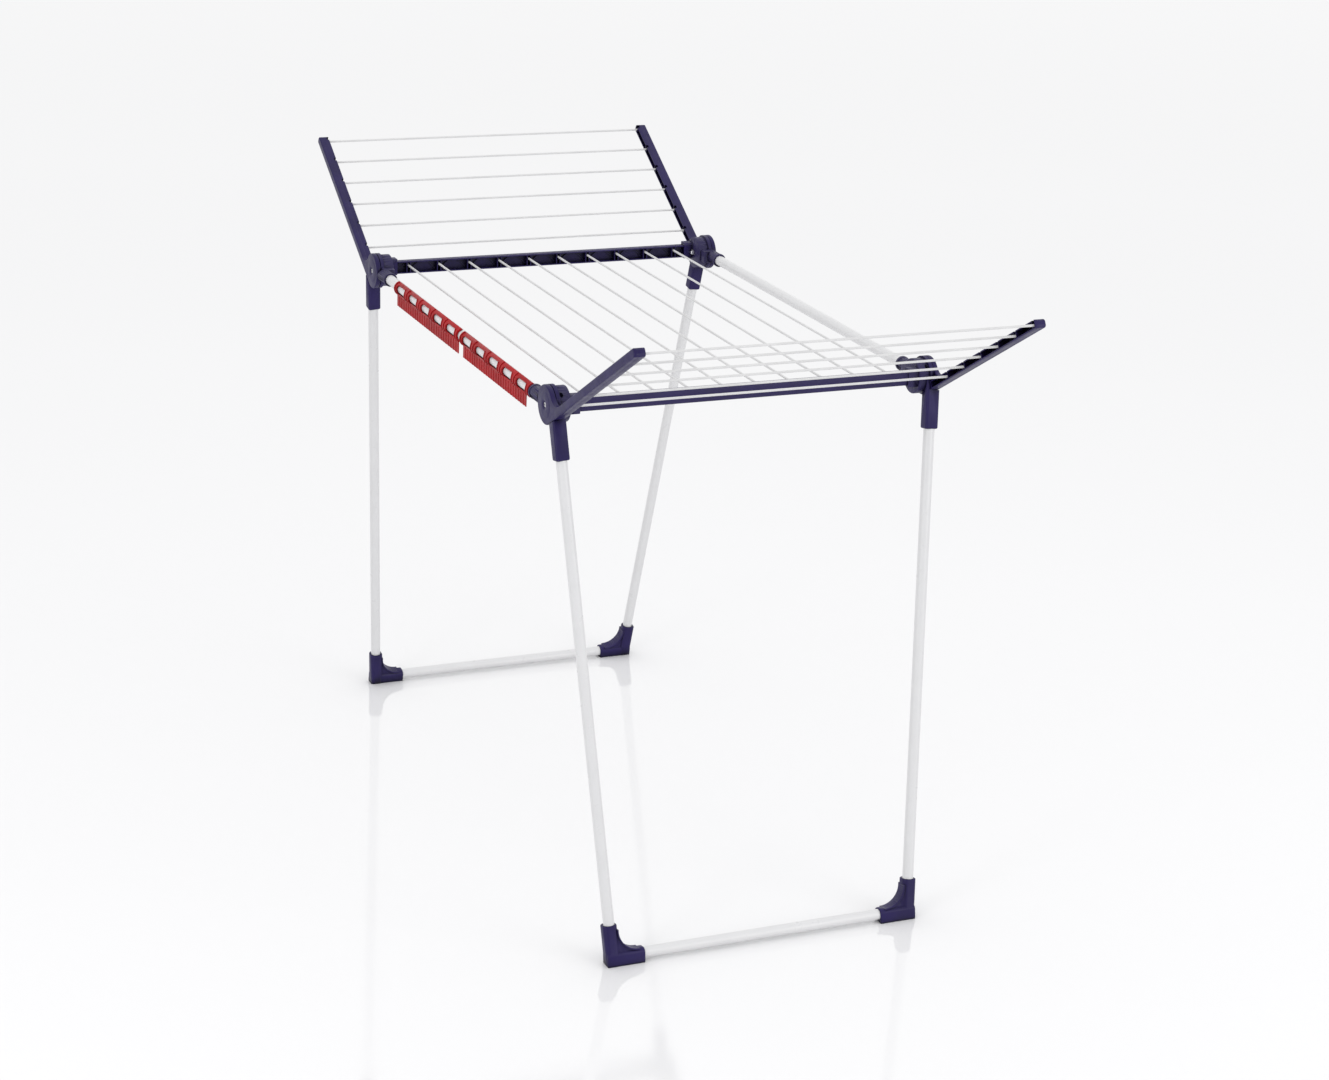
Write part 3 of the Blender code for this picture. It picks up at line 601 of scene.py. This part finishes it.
# ---- wing arm -----------------------------------------------------------------------------------
def seat_pockets(stations, start, end):
    """Hollow stretches of a channel that holds a line at each station: a seat, then a bay."""
    hollows = [(station - SEAT / 2, station + SEAT / 2) for station in stations]
    edges = [start - RIB, *[edge for hollow in hollows for edge in hollow], end + RIB]
    bays = [(low + RIB, high - RIB) for low, high in zip(edges[0::2], edges[1::2])]
    return hollows, bays


def tip_points(grow=0.0):
    centre = ARM_LENGTH - ARM_TIP_RADIUS
    radius = ARM_TIP_RADIUS + grow
    lower = arc((centre, ARM_BOTTOM + ARM_TIP_RADIUS), radius, -90, 0, 8)
    upper = arc((centre, ARM_TOP - ARM_TIP_RADIUS), radius, 0, 90, 8)
    return lower + upper


def arm_plate_outline(grow=0.0):
    """Disc, bottom edge, rounded tip, top edge and the concave sweep back up to the disc."""
    level = ARM_TOP + ARM_SWEEP_RADIUS
    centre = Vector((math.sqrt((DISC_RADIUS + ARM_SWEEP_RADIUS) ** 2 - level ** 2), level))
    touching = math.degrees(math.atan2(centre.y, centre.x))
    disc = arc((0, 0), DISC_RADIUS + grow, touching, 270, 60)
    sweep = arc(centre, ARM_SWEEP_RADIUS - grow, 270, 180 + touching, 20)
    return disc + tip_points(grow) + sweep[:-1]


def wing_line_stations():
    return [FIRST_WING_LINE + WING_LINE_PITCH * index for index in range(WING_LINES)]


def wing_arm():
    """Disc and channel arm: a rounded outer face, an open inner side with ribs and line seats."""
    plate = slab(None, WING_DISC_INNER, OUTER, PROFILE_FRAME, ARM_EDGE, 5, arm_plate_outline)
    root = [Vector((ARM_ROOT, ARM_TOP)), Vector((ARM_ROOT, ARM_BOTTOM))]

    def channel_outline(offset):
        return grown(root + tip_points(), offset)

    channel = slab(None, ARM_INNER, WING_DISC_INNER + ARM_WALL, PROFILE_FRAME, 0.0007, 2, channel_outline)
    seats, bays = seat_pockets(wing_line_stations(), ARM_ROOT + ARM_WALL, ARM_LENGTH - ARM_TIP)
    hollows = [box((ARM_INNER - CUT_MARGIN, low, ARM_BOTTOM + ARM_WALL), (ARM_WEB, high, ARM_TOP - ARM_WALL))
               for low, high in seats + bays]
    notches = [box((ARM_INNER - CUT_MARGIN, station - 0.0034, ARM_TOP - ARM_WALL - CUT_MARGIN),
                   (ARM_INNER + 0.0045, station + 0.0034, ARM_TOP + CUT_MARGIN))
               for station in wing_line_stations()]
    bore = cross_cylinder(WING_DISC_INNER - CUT_MARGIN, OUTER + CUT_MARGIN, BORE_RADIUS, SMALL_ROUND)
    recess = cross_cylinder(OUTER - BOLT_HEAD_HEIGHT - 2 * GAP, OUTER + CUT_MARGIN,
                            BOLT_HEAD_RADIUS + GAP, SMALL_ROUND)
    body = combined(plate, [("UNION", channel), ("DIFFERENCE", joined(hollows)),
                            ("DIFFERENCE", joined(notches)), ("DIFFERENCE", bore), ("DIFFERENCE", recess)])
    return joined([body, disc_cap(), *arm_ribs(bays)])


def disc_cap():
    """Raised round cap on the face of the disc, slightly domed, open round the bolt's head."""
    profile = [(-0.0006, 0.0070), (0.0002, 0.0072), (0.0006, 0.0080), (0.0007, 0.0120), (0.0006, 0.0170),
               (0.0004, 0.0215), (0.0001, 0.0228), (-0.0006, 0.0232)]
    return turned(profile + [profile[0]], Matrix.Translation((OUTER, 0, 0)) @ ALONG_X)


def arm_ribs(bays):
    """Diagonal stiffening ribs on the web in the bays between lines."""
    ribs = []
    low, high = ARM_BOTTOM + ARM_WALL, ARM_TOP - ARM_WALL
    for start, end in bays[1:-1]:
        middle = (start + end) / 2
        for first, last in ((start, middle), (middle, end)):
            rises = first == start
            ends = ((first, low), (last, high)) if rises else ((first, high), (last, low))
            ribs.append(strut(ends, 0.0012, ARM_WEB - 0.0045, ARM_WEB + 0.0004))
    return ribs


def strut(ends, width, low, high, place=PROFILE_FRAME):
    """A straight rib between two points of a flat face."""
    first, last = Vector(ends[0]), Vector(ends[1])
    along = (last - first).normalized() * width * 0.2
    across = Vector((-along.y, along.x)).normalized() * width / 2
    points = [first - along - across, last + along - across, last + along + across, first - along + across]
    return slab(points, low, high, place, width * 0.25, 2)


# ---- legs ---------------------------------------------------------------------------------------
def leg_point(height):
    """A point of the leg's axis, at a height relative to the pivot."""
    share = -height / PIVOT_HEIGHT
    across = LEG_TOP_X + (LEG_FOOT_X - LEG_TOP_X) * share
    outward = LEG_TOP_Y + (LEG_FOOT_Y - LEG_TOP_Y) * share
    return Vector((across, outward, height))


def leg_frame(origin):
    """Axes of the leg: its third axis runs up the leg and its first lies almost along X."""
    up = (leg_point(0) - leg_point(-PIVOT_HEIGHT)).normalized()
    across = Vector((1, 0, 0))
    across = (across - up * across.dot(up)).normalized()
    depth = up.cross(across)
    return Matrix.Translation(origin) @ Matrix((across, depth, up)).transposed().to_4x4()


def rectangle(width, depth, radius, steps=6):
    half_width, half_depth = width / 2, depth / 2
    corners = [(-half_width, -half_depth), (half_width, -half_depth), (half_width, half_depth),
               (-half_width, half_depth)]
    return rounded(corners, radius, steps)


def leg_head():
    """Disc on the pivot and the sleeve of the leg tube, cut back round the drum and the wing."""
    top, bottom = leg_point(SLEEVE_TOP), leg_point(SLEEVE_BOTTOM)
    section = rectangle(*SLEEVE_SIZE, SLEEVE_EDGE)
    sleeve = slab(section, 0, (top - bottom).length, leg_frame(bottom), 0.0028, 4)
    beyond_wing_disc = cross_cylinder(LEG_DISC_OUTER, OUTER + LONG_MARGIN, DISC_RADIUS + DISC_CLEARANCE)
    beyond_drum = cross_cylinder(DRUM_INNER - CUT_MARGIN, LEG_DISC_INNER, DRUM_RADIUS + DISC_CLEARANCE)
    wing_turn = Matrix.Rotation(WING_ANGLE, 4, "X")
    shoulder = ARM_BOTTOM - SHOULDER_DROP
    under_arm = box((ARM_INNER - LONG_MARGIN, ARM_ROOT - RIB, shoulder),
                    (OUTER + LONG_MARGIN, SHOULDER_REACH, SHOULDER_REACH / 2))
    under_plate = box((LEG_DISC_OUTER, 0, shoulder),
                      (OUTER + 2 * LONG_MARGIN, SHOULDER_REACH, SHOULDER_REACH))
    disc = cross_cylinder(LEG_DISC_INNER, LEG_DISC_OUTER, DISC_RADIUS)
    bore = cross_cylinder(LEG_DISC_INNER - CUT_MARGIN, LEG_DISC_OUTER + CUT_MARGIN, BORE_RADIUS, SMALL_ROUND)
    tube_bore = cylinder(leg_point(LEG_TUBE_TOP + GAP), leg_point(SLEEVE_BOTTOM - LONG_MARGIN),
                         TUBE_BORE, SMALL_ROUND)
    return combined(sleeve, [("DIFFERENCE", beyond_wing_disc), ("DIFFERENCE", beyond_drum),
                             ("DIFFERENCE", moved(under_arm, wing_turn)),
                             ("DIFFERENCE", moved(under_plate, wing_turn)), ("UNION", disc),
                             ("DIFFERENCE", bore), ("DIFFERENCE", tube_bore)], edge=0.0005)


def foot_frame():
    """Axes of the foot on the right: inward along X, up the plane of the leg, and its normal."""
    splay = math.atan2(LEG_FOOT_Y - LEG_TOP_Y, PIVOT_HEIGHT)
    inward = Vector((-1, 0, 0))
    up = Vector((0, -math.sin(splay), math.cos(splay)))
    normal = inward.cross(up)
    return Matrix.Translation(leg_point(-PIVOT_HEIGHT)) @ Matrix((inward, up, normal)).transposed().to_4x4()


def gusset_centre():
    top = FOOT_BAR_HEIGHT + FOOT_GUSSET_RADIUS
    return Vector((FOOT_WIDTH / 2 - LEG_LEAN * top + FOOT_GUSSET_RADIUS, top))


def cross_tube_end():
    return leg_point(-PIVOT_HEIGHT + CROSS_TUBE_HEIGHT) - Vector((TUBE_END_CLEARANCE, 0, 0))


def foot():
    """Corner foot: two round-faced sleeves, a web between them and a rim along its hollow edge."""
    place = foot_frame()
    half = FOOT_THICKNESS / 2
    sole = leg_point(-PIVOT_HEIGHT)
    up_leg = leg_frame(sole - Vector((0, 0, FOOT_EXTRA)))
    leg_section = rectangle(FOOT_WIDTH, FOOT_THICKNESS, FOOT_CORNER, 8)
    leg_sleeve = slab(leg_section, 0, FOOT_HEIGHT + 0.0065, up_leg, FOOT_EDGE, 3)
    bar_section = rectangle(FOOT_BAR_HEIGHT + FOOT_EXTRA, FOOT_THICKNESS, FOOT_CORNER, 8)
    bar_middle = Matrix.Translation((0, (FOOT_BAR_HEIGHT - FOOT_EXTRA) / 2, 0))
    bar_frame = place @ bar_middle @ PROFILE_FRAME
    bar_sleeve = slab(bar_section, -FOOT_WIDTH / 2 - 0.0002, FOOT_REACH, bar_frame, FOOT_EDGE, 3)
    centre = gusset_centre()
    web_edge = arc(centre, FOOT_GUSSET_RADIUS, 180, 270, 16)
    web_outline = [Vector((0, 0.004)), Vector((0, web_edge[0].y)), *web_edge, Vector((web_edge[-1].x, 0.004))]
    web = slab(web_outline, -0.0088, 0.0088, place, 0.0004, 1)
    rim_outline = arc(centre, FOOT_GUSSET_RADIUS, 178, 272, 18)
    rim_outline += arc(centre, FOOT_GUSSET_RADIUS + 0.0026, 272, 178, 18)
    rim = slab(rim_outline, -half + 0.0009, half - 0.0009, place, 0.0009, 3)
    below_floor = box(sole - Vector((FOOT_HEIGHT * 2, FOOT_HEIGHT, FOOT_HEIGHT)),
                      sole + Vector((FOOT_HEIGHT * 2, FOOT_HEIGHT, 0)))
    leg_bore = cylinder(leg_point(-PIVOT_HEIGHT + TUBE_END_CLEARANCE - GAP),
                        leg_point(-PIVOT_HEIGHT + FOOT_HEIGHT * 2), TUBE_BORE, SMALL_ROUND)
    axis = cross_tube_end()
    cross_bore = cylinder(axis + Vector((GAP, 0, 0)), axis - Vector((FOOT_HEIGHT, 0, 0)),
                          TUBE_BORE, SMALL_ROUND)
    return combined(leg_sleeve, [("UNION", bar_sleeve), ("UNION", web), ("UNION", rim),
                                 ("DIFFERENCE", below_floor), ("DIFFERENCE", leg_bore),
                                 ("DIFFERENCE", cross_bore)], edge=0.0004)


# ---- frame corner -------------------------------------------------------------------------------
def corner_housing():
    """Fixed hub of a corner: drum, socket for the side tube and socket for the end rail."""
    edge = 0.0009
    drum = turned([(DRUM_INNER, 0), (DRUM_INNER, DRUM_RADIUS - edge),
                   (DRUM_INNER + edge * 0.3, DRUM_RADIUS - edge * 0.3),
                   (DRUM_INNER + edge, DRUM_RADIUS), (DRUM_OUTER - edge, DRUM_RADIUS),
                   (DRUM_OUTER, DRUM_RADIUS - edge), (DRUM_OUTER, 0)], ALONG_X)
    along = axis_frame((SIDE_TUBE_X, -SOCKET_START, 0), (SIDE_TUBE_X, -SOCKET_MOUTH, 0))
    length = SOCKET_MOUTH - SOCKET_START
    collar = 0.0062
    socket = turned([(0, 0), (0, SOCKET_RADII[0]), (length - collar, SOCKET_RADII[1] - 0.0003),
                     (length - collar + 0.0004, SOCKET_RADII[1] + 0.0006),
                     (length - 0.0008, SOCKET_RADII[1] + 0.0006), (length, SOCKET_RADII[1] - 0.0002),
                     (length, 0)], along)
    neck = box((DRUM_INNER + 0.003, -SOCKET_FLOOR, -0.0115), (DRUM_OUTER - 0.001, -0.005, 0.0115), 0.0012)
    block = box((RAIL_SOCKET_X, RAIL_INNER_Y - GAP, RAIL_LOW - 0.0025),
                (DRUM_INNER + 0.002, RAIL_OUTER_Y + 0.0025, RAIL_HIGH + 0.0055), 0.0012)
    pocket = box((RAIL_SOCKET_X - CUT_MARGIN, RAIL_INNER_Y - CUT_MARGIN, RAIL_LOW - GAP),
                 (RAIL_HALF_LENGTH + GAP, RAIL_OUTER_Y + GAP, RAIL_HIGH + GAP))
    discs = cross_cylinder(DRUM_OUTER, OUTER + LONG_MARGIN, DISC_RADIUS + WING_CLEARANCE)
    folded = slab(None, WING_DISC_INNER - WING_CLEARANCE, OUTER + LONG_MARGIN, PROFILE_FRAME, 0.0001, 1,
                  lambda offset: arm_plate_outline(WING_CLEARANCE + offset))
    folded_arm = moved(folded, Matrix.Rotation(math.pi, 4, "X"))
    tube_bore = cylinder((SIDE_TUBE_X, -SOCKET_FLOOR, 0), (SIDE_TUBE_X, -SOCKET_MOUTH - LONG_MARGIN, 0),
                         TUBE_BORE, SMALL_ROUND)
    bore = cross_cylinder(DRUM_INNER - CUT_MARGIN, DRUM_OUTER + CUT_MARGIN, BORE_RADIUS, SMALL_ROUND)
    return combined(drum, [("UNION", neck), ("UNION", socket), ("UNION", block), ("DIFFERENCE", pocket),
                           ("DIFFERENCE", discs), ("DIFFERENCE", folded_arm), ("DIFFERENCE", tube_bore),
                           ("DIFFERENCE", bore), ("DIFFERENCE", drum_hole())], edge=0.0004)


def drum_hole():
    """Oval recess in the drum's rim, part way up on its outward side."""
    oval = [Vector((0.0030 * math.cos(angle), 0.0046 * math.sin(angle)))
            for angle in (2 * math.pi * index / 24 for index in range(24))]
    angle = math.radians(44)
    outward = Vector((0, math.cos(angle), math.sin(angle)))
    middle = Vector((DRUM_OUTER - 0.0038, 0, 0)) + outward * (DRUM_RADIUS - 0.004)
    round_way = Vector((1, 0, 0)).cross(outward)
    place = Matrix.Translation(middle) @ Matrix((Vector((1, 0, 0)), round_way, outward)).transposed().to_4x4()
    return slab(oval, 0, 0.010, place, 0.0003, 1)


def centre_line_stations():
    first = -LINE_PITCH * (CENTRE_LINES - 1) / 2
    return [first + LINE_PITCH * index for index in range(CENTRE_LINES)]


def rail_section():
    """Section of the end rail: its outer face stands upright above and turns in below."""
    outer = RAIL_OUTER_Y
    face = [(outer - 0.0006, RAIL_HIGH), (outer, RAIL_HIGH - 0.0008), (outer, 0.0015),
            (outer - 0.0003, -0.0010), (outer - 0.0022, RAIL_LOW + 0.0010), (outer - 0.0030, RAIL_LOW)]
    inner = [(RAIL_INNER_Y, RAIL_LOW), (RAIL_INNER_Y, RAIL_HIGH)]
    return [Vector(point) for point in face + inner]


def end_rail():
    """Channel across an end, open towards the middle, with line seats and arched ribs in its bays."""
    body = slab(rail_section(), -RAIL_HALF_LENGTH, RAIL_HALF_LENGTH, PROFILE_FRAME, 0.0004, 1)
    seats, bays = seat_pockets(centre_line_stations(), -RAIL_SOCKET_X, RAIL_SOCKET_X)
    web = RAIL_OUTER_Y - 0.0045
    hollows = [box((low, RAIL_INNER_Y - CUT_MARGIN, RAIL_LOW + RAIL_WALL), (high, web, RAIL_HIGH - RAIL_WALL))
               for low, high in seats + bays]
    body = combined(body, [("DIFFERENCE", joined(hollows))])
    ribs = []
    for start, end in bays:
        low, high = RAIL_LOW + RAIL_WALL, RAIL_HIGH - RAIL_WALL
        middle = (start + end) / 2
        reach = (end - start) / 2
        arch = []
        steps = 14
        for step in range(steps + 1):
            share = -1 + 2 * step / steps
            arch.append(Vector((middle + reach * share, low + (high - low) * (1 - share * share))))
        for first, last in zip(arch, arch[1:]):
            ribs.append(strut((first, last), 0.0013, -web - 0.0004, -web + 0.0030, UPRIGHT_FRAME))
    lip_low, lip_high = RAIL_HIGH - 0.0022, RAIL_HIGH + 0.0004
    lip = box((-RAIL_SOCKET_X + 0.001, RAIL_INNER_Y - 0.0004, lip_low),
              (RAIL_SOCKET_X - 0.001, RAIL_INNER_Y + 0.0016, lip_high), 0.0006)
    return joined([body, lip, *ribs])


def pivot_bolt():
    """Bolt along +X with a rounded head and a cross recess."""
    top = OUTER - GAP
    under_head = top - BOLT_HEAD_HEIGHT
    shank_end = DRUM_INNER - NUT_THICKNESS - 0.0018
    profile = [(shank_end, 0), (shank_end, BOLT_RADIUS - 0.0005), (shank_end + 0.0006, BOLT_RADIUS),
               (under_head, BOLT_RADIUS), (under_head, BOLT_HEAD_RADIUS), (top - 0.0009, BOLT_HEAD_RADIUS),
               (top - 0.0003, BOLT_HEAD_RADIUS - 0.0008), (top, BOLT_HEAD_RADIUS - 0.0022), (top, 0)]
    bolt = turned(profile, ALONG_X, SMALL_ROUND)
    half, thick = 0.0027, 0.00055
    slots = [box((top - 0.0012, -half, -thick), (top + CUT_MARGIN, half, thick)),
             box((top - 0.0012, -thick, -half), (top + CUT_MARGIN, thick, half))]
    return combined(bolt, [("DIFFERENCE", slot) for slot in slots])


def pivot_nut():
    """Hexagon nut with chamfered corners."""
    outer_face = DRUM_INNER - GAP
    inner_face = outer_face - NUT_THICKNESS
    hexagon = turned([(inner_face, 0), (inner_face, 0.0050), (outer_face, 0.0050), (outer_face, 0)],
                     ALONG_X, 6)
    cone = turned([(inner_face, 0), (inner_face, 0.0044), (inner_face + 0.0007, 0.0051),
                   (outer_face - 0.0004, 0.0051), (outer_face, 0.0047), (outer_face, 0)], ALONG_X, SMALL_ROUND)
    bore = cross_cylinder(inner_face - CUT_MARGIN, outer_face + CUT_MARGIN, BORE_RADIUS, SMALL_ROUND)
    return combined(hexagon, [("INTERSECT", cone), ("DIFFERENCE", bore)])


# ---- small-item holder --------------------------------------------------------------------------
def round_tube(angle, radius, along):
    """A point by its angle round the side tube, in radians, its distance from the axis and its y."""
    return Vector((radius * math.cos(angle), along, radius * math.sin(angle)))


def window_outline(centre, half_length, half_height):
    """Rounded rectangle along the clip, with points close enough to wrap round it."""
    corners = [(centre - half_length, -half_height), (centre + half_length, -half_height),
               (centre + half_length, half_height), (centre - half_length, half_height)]
    outline = rounded(corners, WINDOW_CORNER, 6)
    points = []
    for point, after in zip(outline, outline[1:] + outline[:1]):
        spans = max(1, math.ceil((after - point).length / WINDOW_STEP))
        points += [point.lerp(after, span / spans) for span in range(spans)]
    return points


def window_rim(centre, half_length):
    """Raised rim that follows a window's oval over the round face of the clip."""
    outline = window_outline(centre, half_length + 0.0006, WINDOW_HALF_HEIGHT + 0.0002)
    path = [(math.pi + WINDOW_TILT - math.asin(height / CLIP_RADIUS), along) for along, height in outline]
    rings = []
    width, rise = 0.0008, 0.0012
    section = ((-1, -0.0012), (-1, 0.5 * rise), (-0.5, rise), (0.5, rise), (1, 0.5 * rise), (1, -0.0012))
    count = len(path)
    for index, (angle, along) in enumerate(path):
        before, after = path[index - 1], path[(index + 1) % count]
        way = Vector((CLIP_RADIUS * (after[0] - before[0]), after[1] - before[1])).normalized()
        side = Vector((-way.y, way.x)) * width
        rings.append([round_tube(angle + side.x * offset / CLIP_RADIUS, CLIP_RADIUS + lift,
                                 along + side.y * offset) for offset, lift in section])
    return loft(rings + [rings[0]], caps=False)


def cross_rib(along, width=0.0032, rise=0.0014, angles=(104, 236)):
    """Raised rib over the clip between two windows."""
    half = width / 2
    section = ((-half, -0.001), (-half, rise * 0.6), (-half * 0.6, rise),
               (half * 0.6, rise), (half, rise * 0.6), (half, -0.001))
    rings = []
    steps = 24
    for step in range(steps + 1):
        angle = math.radians(angles[0] + (angles[1] - angles[0]) * step / steps)
        rings.append([round_tube(angle, CLIP_RADIUS + lift, along + offset) for offset, lift in section])
    return loft(rings)


def hanger(low, high):
    """Fluted plate with a toothed lower edge."""
    outer, inner = HANGER_FACES
    tooth = (high - low) / HOLDER_TEETH
    points = [Vector((high, HANGER_TOP)), Vector((low, HANGER_TOP))]
    for index in range(HOLDER_TEETH):
        start = low + tooth * index
        points += [Vector((start + tooth * share, -HANGER_DROP + rise))
                   for share, rise in ((0.04, 0), (0.32, 0), (0.5, TOOTH_DEPTH), (0.68, 0))]
    points.append(Vector((high - 0.0002, -HANGER_DROP)))
    plate = slab(points, outer, inner, PROFILE_FRAME, 0.0003, 1)
    ring = [(-0.0013, 0.0003), (-0.0009, -0.0006), (0, -0.0009), (0.0009, -0.0006), (0.0013, 0.0003)]
    flutes = []
    for index in range(1, HOLDER_TEETH):
        middle = low + tooth * index
        rings = [[Vector((outer + lift, middle + offset, height)) for offset, lift in ring]
                 for height in (-HANGER_DROP + 0.0012, HANGER_TOP - 0.0032)]
        flutes.append(loft(rings))
    band = box((outer - 0.0006, low + 0.001, HANGER_TOP - 0.0034),
               (outer + 0.0004, high - 0.001, HANGER_TOP), 0.0004)
    return [plate, band, *flutes]


def clip_lip(degrees, first):
    """Half-round edge of the clip's section, at an angle round the tube."""
    middle = (CLIP_RADIUS + TUBE_BORE) / 2
    angle = math.radians(degrees)
    centre = Vector((middle * math.cos(angle), middle * math.sin(angle)))
    return arc(centre, (CLIP_RADIUS - TUBE_BORE) / 2, first, first + 180, 6)


def holder(low, high, hanger_span):
    """Clip over the side tube with rimmed windows and ribs, and the plate that hangs from it."""
    start, end = CLIP_ARC
    outside = arc((0, 0), CLIP_RADIUS, start, end, 44)[1:-1]
    inside = arc((0, 0), TUBE_BORE, end, start, 44)[1:-1]
    section = [*outside, *clip_lip(end, end), *inside, *clip_lip(start, start + 180)]
    clip = slab(section, -high, -low, UPRIGHT_FRAME, 0.0005, 2)
    pitch = (high - low) / HOLDER_WINDOWS
    half_length = pitch * WINDOW_SHARE / 2
    facing = Matrix.Rotation(-WINDOW_TILT, 4, "Y") @ OUTWARD_FRAME
    centres = [low + pitch * (index + 0.5) for index in range(HOLDER_WINDOWS)]
    cuts = [slab(window_outline(centre, half_length, WINDOW_HALF_HEIGHT), *WINDOW_CUT, facing, 0.0001, 1)
            for centre in centres]
    clip = combined(clip, [("DIFFERENCE", joined(cuts))])
    rims = [window_rim(centre, half_length) for centre in centres]
    ribs = [cross_rib(low + pitch * index) for index in range(1, HOLDER_WINDOWS)]
    ribs += [cross_rib(low + 0.0022), cross_rib(high - 0.0022)]
    return joined([clip, *rims, *ribs, *hanger(*hanger_span)])


def add_holders():
    on_tube = Matrix.Translation((-SIDE_TUBE_X, 0, PIVOT_HEIGHT))
    for end in ("back", "front"):
        node = f"small_item_holder_{end}"
        low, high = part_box(node)
        mesh = moved(holder(low.y, high.y, HANGER_SPANS[end]), on_tube)
        piece(f"visual_{node}", mesh, RED, "frame", node)


# ---- assembly -----------------------------------------------------------------------------------
def add_corners():
    """Each corner's pieces, from the one set of shapes, and the rail of each end."""
    rail_shape = end_rail()
    wing_turn = Matrix.Rotation(WING_ANGLE, 4, "X")
    shapes = {"corner_housing": (corner_housing(), BLUE, "frame", Matrix()),
              "pivot_bolt": (pivot_bolt(), ZINC, "frame", Matrix()),
              "pivot_nut": (pivot_nut(), ZINC, "frame", Matrix()),
              "wing_arm": (wing_arm(), BLUE, "wing", wing_turn),
              "leg_head": (leg_head(), BLUE, "leg", Matrix()),
              "foot": (foot(), BLUE, "leg", Matrix())}
    for end, pivot in PIVOTS.items():
        end_turn = Matrix() if end == "back" else HALF_TURN
        for side in ("left", "right"):
            hand = Matrix() if (side == "right") == (end == "back") else MIRROR
            for kind, (mesh, look, group, tilt) in shapes.items():
                body = "frame" if group == "frame" else f"{group}_{end}"
                place = Matrix.Translation(pivot) @ end_turn @ hand @ tilt
                node = f"{kind}_{end}_{side}"
                piece(f"visual_{node}", moved(mesh, place), look, body, node)
        rail = moved(rail_shape, Matrix.Translation(pivot) @ end_turn)
        piece(f"visual_end_rail_{end}", rail, BLUE, "frame", f"end_rail_{end}")


add_straight_pieces()
add_corners()
add_holders()
